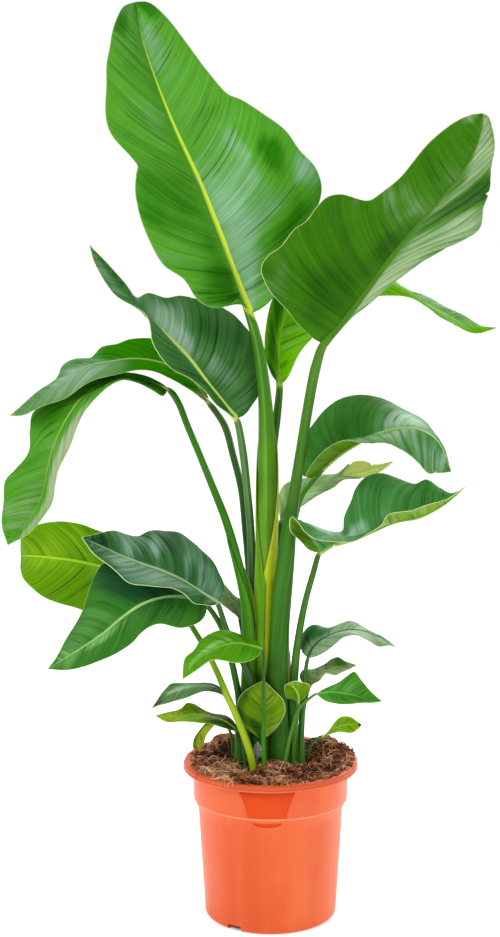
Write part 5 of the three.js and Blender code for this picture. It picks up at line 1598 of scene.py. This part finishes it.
# %% Pot plastic
# Painted light on the pot: a pale painted highlight on the step under the collar, a painted shadow on the
# panel's top under the rim, and pale streaks of painted sheen up the wall. The rim is deeper in tint.
PAINTED_EDGE_HIGHLIGHT = {"tint": "F8B090", "height": COLLAR_FOOT + 0.5, "full": 0.4, "end": 1.3, "share": 0.45}
DEEP_RIM = {"tint": "B03C14", "height": POT_HEIGHT - 2.5, "full": 3.5, "end": 4.6, "share": 0.5}
PAINTED_SHADOW_UNDER_RIM = {"tint": "A02C02", "height": PANEL_TOP, "full": 1.0, "end": 9.0, "share": 0.6}
SHEEN_STREAK_SCALE = (34, 34, 2.5)
CLOUD_SCALE = 11.0
CHALK_RANGE = (0.35, 0.7)
SHEEN_STREAK_SHARE = 0.6
CLOUD_SHARE = 0.4
SCUFF_SCALE = 190.0
SCUFF_RANGE = (0.64, 0.74)
SCUFF_SHARE = 0.3
GRAIN_SCALE = 900.0
GRAIN_DISTANCE = 0.0002
ROUGHNESS_SWING = 0.05
PLASTIC_IOR = 1.45


def with_band(tree, colour, height, band):
    """A colour with a band of another tint round the pot: full near its height, then fading."""
    above = sum_of(tree, height, -band["height"] * MM)
    off = add(tree, "Math", {"operation": "ABSOLUTE"}, i0=above).outputs[0]
    share = ramp(tree, off, band["full"] * MM, band["end"] * MM, band["share"], 0)
    return mix_colours(tree, share, colour, linear(band["tint"]))


def plastic(name, tints, roughness, grain, gloss, bands):
    """Dyed plastic: a tint that turns towards chalk in soft streaks of painted sheen and in random
    clouds, with small scuffs and bands. The tints are the dye, the chalk and the scuffs."""
    material, tree, output = start_material(name)
    dye, chalk, scuff = (linear(code) for code in tints)
    place = add(tree, "TexCoord").outputs["Object"]
    # Pale streaks stretched up the wall: painted sheen.
    stretched = add(tree, "Mapping", Vector=place, Scale=SHEEN_STREAK_SCALE).outputs[0]
    streaks = add(tree, "TexNoise", Vector=stretched, Scale=1.0, Detail=2.0).outputs["Fac"]
    clouds = add(tree, "TexNoise", Vector=place, Scale=CLOUD_SCALE, Detail=3.0).outputs["Fac"]
    share = sum_of(tree, ramp(tree, streaks, *CHALK_RANGE, 0, SHEEN_STREAK_SHARE),
                   ramp(tree, clouds, *CHALK_RANGE, 0, CLOUD_SHARE))
    colour = mix_colours(tree, share, dye, chalk)
    scuffs = add(tree, "TexNoise", Vector=place, Scale=SCUFF_SCALE, Detail=4.0).outputs["Fac"]
    colour = mix_colours(tree, ramp(tree, scuffs, *SCUFF_RANGE, 0, SCUFF_SHARE), colour, scuff)
    height = add(tree, "SeparateXYZ", Vector=place).outputs["Z"]
    for band in bands:
        colour = with_band(tree, colour, height, band)
    specks = add(tree, "TexNoise", Vector=place, Scale=GRAIN_SCALE, Detail=1.0).outputs["Fac"]
    bump = add(tree, "Bump", Strength=grain, Distance=GRAIN_DISTANCE, Height=specks)
    cloudy = ramp(tree, clouds, *NOISE_RANGE, roughness - ROUGHNESS_SWING, roughness + ROUGHNESS_SWING)
    surface = add(tree, "BsdfPrincipled", Base_Color=colour, IOR=PLASTIC_IOR, Specular_IOR_Level=gloss,
                  Normal=bump.outputs[0], Roughness=cloudy)
    tree.links.new(surface.outputs[0], output.inputs["Surface"])
    return material


pot.data.materials.append(plastic("satin_orange", ("D0501A", "DA6430", "A84C28"), roughness=0.4,
                                  grain=0.35, gloss=0.33, bands=(PAINTED_EDGE_HIGHLIGHT, DEEP_RIM)))
pot.data.materials.append(plastic("polished_orange", ("CE4004", "D24608", "B03A0C"), roughness=0.34,
                                  grain=0.08, gloss=0.16, bands=(PAINTED_SHADOW_UNDER_RIM,)))
print(len(pot.data.materials), "finishes of the same plastic")

# %% Polished faces
SUNK_LEAST = PANEL_DEPTH * 0.6
SUNK_MOST = TAB_DEPTH + 0.3
SHARP_ANGLE = 32


def is_polished(face):
    """Whether a face of the pot lies in the panel or in the tab, which are sunk into the wall."""
    x, y, z = (value / MM for value in face.center)
    in_panel = PANEL_FOOT < z < PANEL_TOP and abs(x - PANEL_CENTRE_X) < PANEL_TOP_HALF
    in_tab = TAB_TOP - TAB_DROP < z < TAB_TOP and abs(x - PANEL_CENTRE_X) < TAB_HALF_WIDTH
    if y > 0 or not (in_panel or in_tab):
        return False
    sunk = (collar_radius(z) if in_panel else tab_radius(z)) - math.hypot(x, y)
    return SUNK_LEAST < sunk < SUNK_MOST


polished = [1 if is_polished(face) else 0 for face in pot.data.polygons]
pot.data.polygons.foreach_set("material_index", polished)
pot.data.polygons.foreach_set("use_smooth", [True] * len(polished))
pot.data.set_sharp_from_angle(angle=math.radians(SHARP_ANGLE))
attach(pot, "root")
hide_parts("pot")
print(sum(polished), "polished faces")

# %% [markdown]
# ## The soil
#
# The pot is filled with brown peat and coconut fibre, heaped up left and right of the stems. Its
# body is a disc of rings whose height follows the CAD model's mounds, and one low mound more in
# front of the stems, roughened with fractal noise. Loose crumbs and hundreds of curled fibres lie
# on it, because from this close the fibres are what makes potting soil look real. All draws come
# from one seeded generator, so the soil is the same each time.

# %% Soil body
SOIL_EDGE_HEIGHT = 189
SOIL_MOUNDS = [(-58, 40, 18, 34), (68, 34, 18, 32), (4, 66, 8, 30), (-2, -14, 3, 40), (2, -40, 5, 22)]
SOIL_RADIUS = 92.7
SOIL_FOOT = [(78, 6.4), (78.5, 8.4), (85.7, 131), (90.7, 145), (91.7, 147)]
SOIL_RINGS = 80
SOIL_SIDES = 220
ROUGH_SIZE = 9
ROUGH_HEIGHT = 2.4
LUMP_SIZE = 15
LUMP_HEIGHT = 2.2
WALL_CALM = 0.7


def soil_height(x, y):
    """Height of the heaped soil in millimetres. It runs level and calm towards the pot's wall."""
    wall_share = min(1, math.hypot(x, y) / SOIL_RADIUS)
    height = SOIL_EDGE_HEIGHT
    for mound_x, mound_y, rise, spread in SOIL_MOUNDS:
        distance = math.hypot(x - mound_x, y - mound_y) / spread
        height += rise * math.exp(-distance ** 2) * (1 - wall_share ** 12)
    rough = noise.fractal(Vector((x / ROUGH_SIZE, y / ROUGH_SIZE, 0)), 1.0, 2.1, 5)
    lumps = noise.noise(Vector((x / LUMP_SIZE, y / LUMP_SIZE, 5)))
    return height + (ROUGH_HEIGHT * rough + LUMP_HEIGHT * lumps) * (1 - WALL_CALM * wall_share ** 8)


def on_circle(radius, angle):
    """The x and y of a place at a radius and an angle."""
    return radius * math.cos(angle), radius * math.sin(angle)


def soil_ring(radius, height_at):
    """One ring of soil points."""
    spots = [on_circle(radius, 2 * math.pi * side / SOIL_SIDES) for side in range(SOIL_SIDES)]
    return [(x * MM, y * MM, height_at(x, y) * MM) for x, y in spots]


soil_body = bmesh.new()
rings = [soil_ring(radius, lambda x, y, level=height: level) for radius, height in SOIL_FOOT]
rings += [soil_ring(SOIL_RADIUS * ring / SOIL_RINGS, soil_height) for ring in range(SOIL_RINGS, 0, -1)]
soil_verts = [[soil_body.verts.new(place) for place in ring] for ring in rings]
for low, high in zip(soil_verts, soil_verts[1:]):
    for side in range(SOIL_SIDES):
        beside = (side + 1) % SOIL_SIDES
        soil_body.faces.new([low[side], low[beside], high[beside], high[side]])
soil_body.faces.new(soil_verts[0][::-1])
soil_body.faces.new(soil_verts[-1])
soil = finished("soil_fine", soil_body)
soil.data.polygons.foreach_set("use_smooth", [True] * len(soil.data.polygons))
print("soil", triangle_count(soil), "triangles")

# %% [markdown]
# ## Crumbs
#
# Potting peat breaks into crumbs of a few millimetres. They lie thicker in some heaps, and some
# were spilt on the flat of the rim, which is bare only at the back. Each crumb is the same
# twenty-sided ball, stretched, turned and jagged by random draws, which is cheap and never repeats
# to the eye.

# %% Where loose bits lie
HEAPS = [
    {"at": (-66, 42), "spread": 20, "rise": 2, "share": 0.12},
    {"at": (90, 24), "spread": 13, "rise": 9, "share": 0.14},
    {"at": (84, 44), "spread": 15, "rise": 4, "share": 0.1},
    {"at": (-44, -84), "spread": 11, "rise": 4, "share": 0.08},
    {"at": (0, -44), "spread": 22, "rise": 3, "share": 0.1},
]
HEAP_SCATTER = 0.7
HEAP_FALL = 2
RIM_FLAT = (93, 103)
RIM_SHARE = 0.16
RIM_FROM = 88
RIM_COVERED = (-200, 20)
RIM_SPARED = 5
STREWN_RADIUS = SOIL_RADIUS - 1.5
draw = random.Random(7)


def scattered_spot():
    """A random place on the soil, more likely in a heap, and how high the heap lifts it."""
    pick = draw.random()
    for heap in HEAPS:
        if pick < heap["share"]:
            reach = abs(draw.gauss(0, HEAP_SCATTER))
            angle = draw.uniform(0, 2 * math.pi)
            x = heap["at"][0] + heap["spread"] * reach * math.cos(angle)
            y = heap["at"][1] + heap["spread"] * reach * math.sin(angle)
            if math.hypot(x, y) < RIM_FLAT[1]:
                return x, y, heap["rise"] * math.exp(-HEAP_FALL * reach ** 2)
        pick -= heap["share"]
    if pick < RIM_SHARE:
        angle = math.radians(draw.uniform(*RIM_COVERED))
        radius = draw.uniform(RIM_FROM, RIM_FLAT[1] - RIM_SPARED * max(0, -math.cos(angle)))
        return *on_circle(radius, angle), 0
    radius = STREWN_RADIUS * math.sqrt(draw.random())
    return *on_circle(radius, draw.uniform(0, 2 * math.pi)), 0


def ground(x, y):
    """Height of what a loose bit lies on: the soil, or the flat of the rim."""
    return POT_HEIGHT if math.hypot(x, y) > RIM_FLAT[0] else soil_height(x, y)


print(len(HEAPS), "heaps take", round(100 * sum(heap["share"] for heap in HEAPS)), "% of the loose bits")

# %% Crumbs
CRUMB_COUNT = 5200
CRUMB_LEAST = 0.9
CRUMB_MOST = 4.0
CRUMB_TURN = 6.3
CRUMB_STRETCH = [(0.6, 1.5), (0.45, 0.9), (0.35, 0.8)]
CRUMB_JAG = (0.45, 1.2)
CRUMB_SITS = 0.25
CLUMP_SIZE = 8
CLUMP_SHADE = 0.7
SHADE_LEAST = 0.15
SHADE_SPREAD = 0.7

crumb_shape = bmesh.new()
bmesh.ops.create_icosphere(crumb_shape, subdivisions=1, radius=1)
crumb_corners = [vertex.co.copy() for vertex in crumb_shape.verts]
crumb_faces = [[vertex.index for vertex in face.verts] for face in crumb_shape.faces]
crumb_shape.free()
crumb_points, crumb_skin, crumb_shades = [], [], []
for _ in range(CRUMB_COUNT):
    x, y, lift = scattered_spot()
    size = CRUMB_LEAST + (CRUMB_MOST - CRUMB_LEAST) * draw.random() ** 2
    angle = draw.uniform(0, CRUMB_TURN)
    turn = Matrix.Rotation(angle, 3, Vector((draw.random(), draw.random(), draw.random() + 0.1)))
    stretch = Vector([draw.uniform(*limits) for limits in CRUMB_STRETCH])
    centre = Vector((x, y, ground(x, y) + size * CRUMB_SITS + lift * draw.random()))
    crumb_skin += [[corner + len(crumb_points) for corner in face] for face in crumb_faces]
    for corner in crumb_corners:
        jagged = corner * draw.uniform(*CRUMB_JAG) * size
        crumb_points.append((centre + turn @ (jagged * stretch)) * MM)
    clump = noise.noise(Vector((x / CLUMP_SIZE, y / CLUMP_SIZE, 9)))
    shade = draw.random() * SHADE_SPREAD + SHADE_LEAST + CLUMP_SHADE * clump
    crumb_shades += [min(1, max(0, shade))] * len(crumb_corners)
print(len(crumb_skin), "crumb faces")

# %% [markdown]
# ## Fibres
#
# Coconut fibre is springy: each strand curls over the soil, dips at its ends, and some hang over
# the rim. The pale strands lie together in tufts and the others are strewn, so the two kinds draw
# their shade from different ranges. A strand could be a curve with a bevel, but a thin tube of
# three sides is as good at this size, and thousands of them stay light in one mesh.

# %% Where fibres lie
TUFTS = [
    {"at": (-43, -90), "spread": 9, "share": 0.12},
    {"at": (66, -74), "spread": 6, "share": 0.02},
    {"at": (98, 20), "spread": 12, "share": 0.09},
    {"at": (10, -90), "spread": 24, "share": 0.06},
    {"at": (-62, -38), "spread": 24, "share": 0.14},
    {"at": (54, 4), "spread": 26, "share": 0.03},
]
TUFT_SCATTER = 0.6
TUFT_LIFT = 2.5
TUFT_TONES = (0.1, 1.0)
STREWN_LIFT = 0.8
STREWN_TONES = (0.0, 0.85)
RIM_FALL = 0.55
RIM_FALL_BEND = 1.6


def fibre_start():
    """Where a fibre starts, its lift and its tones: in one of the pale tufts, or anywhere."""
    pick = draw.random()
    for tuft in TUFTS:
        if pick < tuft["share"]:
            x = tuft["at"][0] + draw.gauss(0, TUFT_SCATTER) * tuft["spread"]
            y = tuft["at"][1] + draw.gauss(0, TUFT_SCATTER) * tuft["spread"]
            return x, y, TUFT_LIFT, TUFT_TONES
        pick -= tuft["share"]
    x, y, lift = scattered_spot()
    return x, y, lift * STREWN_LIFT, STREWN_TONES


def lying_height(x, y):
    """Height of a fibre's ground, which over the rim's edge falls away."""
    beyond = math.hypot(x, y) - (RIM_RADIUS - RIM_ROUNDING)
    return ground(x, y) - (RIM_FALL * beyond ** RIM_FALL_BEND if beyond > 0 else 0)


print(len(TUFTS), "tufts take", round(100 * sum(tuft["share"] for tuft in TUFTS)), "% of the fibres")

# %% One fibre
FIBRE_RINGS = 8
FIBRE_SIDES = 3
FIBRE_CURL = 3.8
FIBRE_WOBBLE = 0.25
FIBRE_CLEARANCE = 0.35
THIN_END = 0.35
TAPER_FROM = 0.12


def fibre_path(x, y, length, lift):
    """A fibre's path over the soil: it turns as it goes, and its ends dip down."""
    heading = draw.uniform(0, 2 * math.pi)
    bend = draw.uniform(-FIBRE_CURL, FIBRE_CURL)
    path = []
    for ring in range(FIBRE_RINGS):
        share = ring / (FIBRE_RINGS - 1)
        rise = lift * math.sin(math.pi * share) + FIBRE_CLEARANCE
        path.append(Vector((x, y, lying_height(x, y) + rise)))
        heading += (bend + draw.uniform(-FIBRE_WOBBLE, FIBRE_WOBBLE)) / FIBRE_RINGS
        x += math.cos(heading) * length / FIBRE_RINGS
        y += math.sin(heading) * length / FIBRE_RINGS
    return path


def add_tube(points, skin, path, radius):
    """A thin tube along a path, with few sides and thinner ends."""
    start = len(points)
    for ring, spot in enumerate(path):
        ahead = path[min(ring + 1, len(path) - 1)] - path[max(ring - 1, 0)]
        side = ahead.cross(Vector((0, 0, 1))).normalized()
        up = side.cross(ahead).normalized()
        along = TAPER_FROM + (1 - 2 * TAPER_FROM) * ring / (len(path) - 1)
        thick = radius * (THIN_END + (1 - THIN_END) * math.sin(math.pi * along))
        for corner in range(FIBRE_SIDES):
            angle = 2 * math.pi * corner / FIBRE_SIDES
            points.append((spot + (side * math.cos(angle) + up * math.sin(angle)) * thick) * MM)
    for ring in range(len(path) - 1):
        low = start + ring * FIBRE_SIDES
        for corner in range(FIBRE_SIDES):
            beside = (corner + 1) % FIBRE_SIDES
            quad = [corner, beside, beside + FIBRE_SIDES, corner + FIBRE_SIDES]
            skin.append([low + i for i in quad])
    skin.append([start + corner for corner in range(FIBRE_SIDES)][::-1])
    skin.append([len(points) - FIBRE_SIDES + corner for corner in range(FIBRE_SIDES)])


print("a fibre has", FIBRE_RINGS, "rings of", FIBRE_SIDES, "points")

# %% Fibres
FIBRE_COUNT = 2300
FIBRE_END = 108
HANGING_EVERY = 4
COARSE_EVERY = 5
FIBRE_LIFT = (0.4, 2.6)
COARSE = {"length": (20, 44), "radius": (0.42, 0.75), "lift": 1.6}
FINE = {"length": (8, 26), "radius": (0.2, 0.42), "lift": 0}

fibre_points, fibre_skin, fibre_shades = [], [], []
for number in range(FIBRE_COUNT):
    x, y, lift, tones = fibre_start()
    kind = COARSE if number % COARSE_EVERY == 0 else FINE
    length = draw.uniform(*kind["length"])
    path = fibre_path(x, y, length, lift + draw.uniform(*FIBRE_LIFT) + kind["lift"])
    farthest = FIBRE_END if number % HANGING_EVERY == 0 else RIM_FLAT[1]
    if max(math.hypot(spot.x, spot.y) for spot in path) > farthest:
        continue
    before = len(fibre_points)
    add_tube(fibre_points, fibre_skin, path, draw.uniform(*kind["radius"]))
    fibre_shades += [draw.uniform(*tones)] * (len(fibre_points) - before)
print(len(fibre_skin), "fibre faces")

# %% Loose bits as objects
def loose_piece(name, points, skin, shades, smooth):
    """One object from many small bits, with a random shade for each bit."""
    mesh = bpy.data.meshes.new(name)
    mesh.from_pydata([tuple(point) for point in points], [], skin)
    shade = mesh.attributes.new("shade", "FLOAT", "POINT")
    shade.data.foreach_set("value", shades)
    mesh.polygons.foreach_set("use_smooth", [smooth] * len(skin))
    mesh.update()
    return placed(name, mesh)


crumbs = loose_piece("soil_crumbs", crumb_points, crumb_skin, crumb_shades, False)
fibres = loose_piece("coir_fibres", fibre_points, fibre_skin, fibre_shades, True)
print(triangle_count(crumbs), "and", triangle_count(fibres), "triangles")

# %% [markdown]
# ## The finish of peat and fibre
#
# Peat is dull and nearly black where it is wet, and red-brown where it has dried. Coconut fibre
# runs from rust to straw. One recipe serves for all of it: a row of tints, and a value that picks
# from it. On the body the value is a fine noise, and on loose bits it is each bit's own shade.

# %% Soil materials
PEAT_TINTS = [(0.2, "120804"), (0.5, "301A0E"), (0.8, "56301C")]
CRUMB_TINTS = [(0.15, "0E0502"), (0.48, "743A22"), (0.88, "DE9E78")]
COIR_TINTS = [(0.1, "3C1A0A"), (0.5, "A5643A"), (0.9, "F8D2A4")]
EARTH_GRAIN_SCALE = 260.0
EARTH_PATCH_SCALE = 38.0
OWN_SHARE = 0.6
PATCH_SHARE = 0.4
EARTH_RELIEF = 0.7
EARTH_RELIEF_DISTANCE = 0.0008
EARTH_GLOSS = 0.25


def earth(name, tints, loose, roughness):
    """Peat or fibre. Each tint comes with its place on the row. Loose bits have a shade of their
    own, and the body is shaded by its grains."""
    material, tree, output = start_material(name)
    place = add(tree, "TexCoord").outputs["Object"]
    grains = add(tree, "TexNoise", Vector=place, Scale=EARTH_GRAIN_SCALE, Detail=4.0).outputs["Fac"]
    patches = add(tree, "TexNoise", Vector=place, Scale=EARTH_PATCH_SCALE, Detail=3.0).outputs["Fac"]
    own = add(tree, "Attribute", {"attribute_name": "shade"}).outputs["Fac"] if loose else grains
    patchy = ramp(tree, patches, *NOISE_RANGE, 0, PATCH_SHARE)
    value = sum_of(tree, product_of(tree, own, OWN_SHARE), patchy)
    picked = add(tree, "ValToRGB", Fac=value)
    row = picked.color_ramp.elements
    row[0].position, row[-1].position = tints[0][0], tints[-1][0]
    row[0].color, row[-1].color = linear(tints[0][1]), linear(tints[-1][1])
    for position, code in tints[1:-1]:
        row.new(position).color = linear(code)
    bump = add(tree, "Bump", Strength=EARTH_RELIEF, Distance=EARTH_RELIEF_DISTANCE, Height=grains)
    dull = add(tree, "BsdfPrincipled", Base_Color=picked.outputs[0], Roughness=roughness,
               Specular_IOR_Level=EARTH_GLOSS, Normal=bump.outputs[0])
    tree.links.new(dull.outputs[0], output.inputs["Surface"])
    return material


soil.data.materials.append(earth("peat", PEAT_TINTS, loose=False, roughness=0.95))
crumbs.data.materials.append(earth("peat_crumbs", CRUMB_TINTS, loose=True, roughness=0.9))
fibres.data.materials.append(earth("coir", COIR_TINTS, loose=True, roughness=0.8))
for piece in (soil, crumbs, fibres):
    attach(piece, "root")
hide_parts("soil")
print("soil finishes:", ", ".join(piece.data.materials[0].name for piece in (soil, crumbs, fibres)))

# %% [markdown]
# ## Counting the triangles
#
# The fine pieces are meant to fill the same box as the CAD model. Here their triangles are counted.

# %% Triangles in all
pieces_now = [made for made in bpy.context.scene.objects if made.type == "MESH" and not made.hide_render]
print(sum(triangle_count(made) for made in pieces_now), "triangles in all")
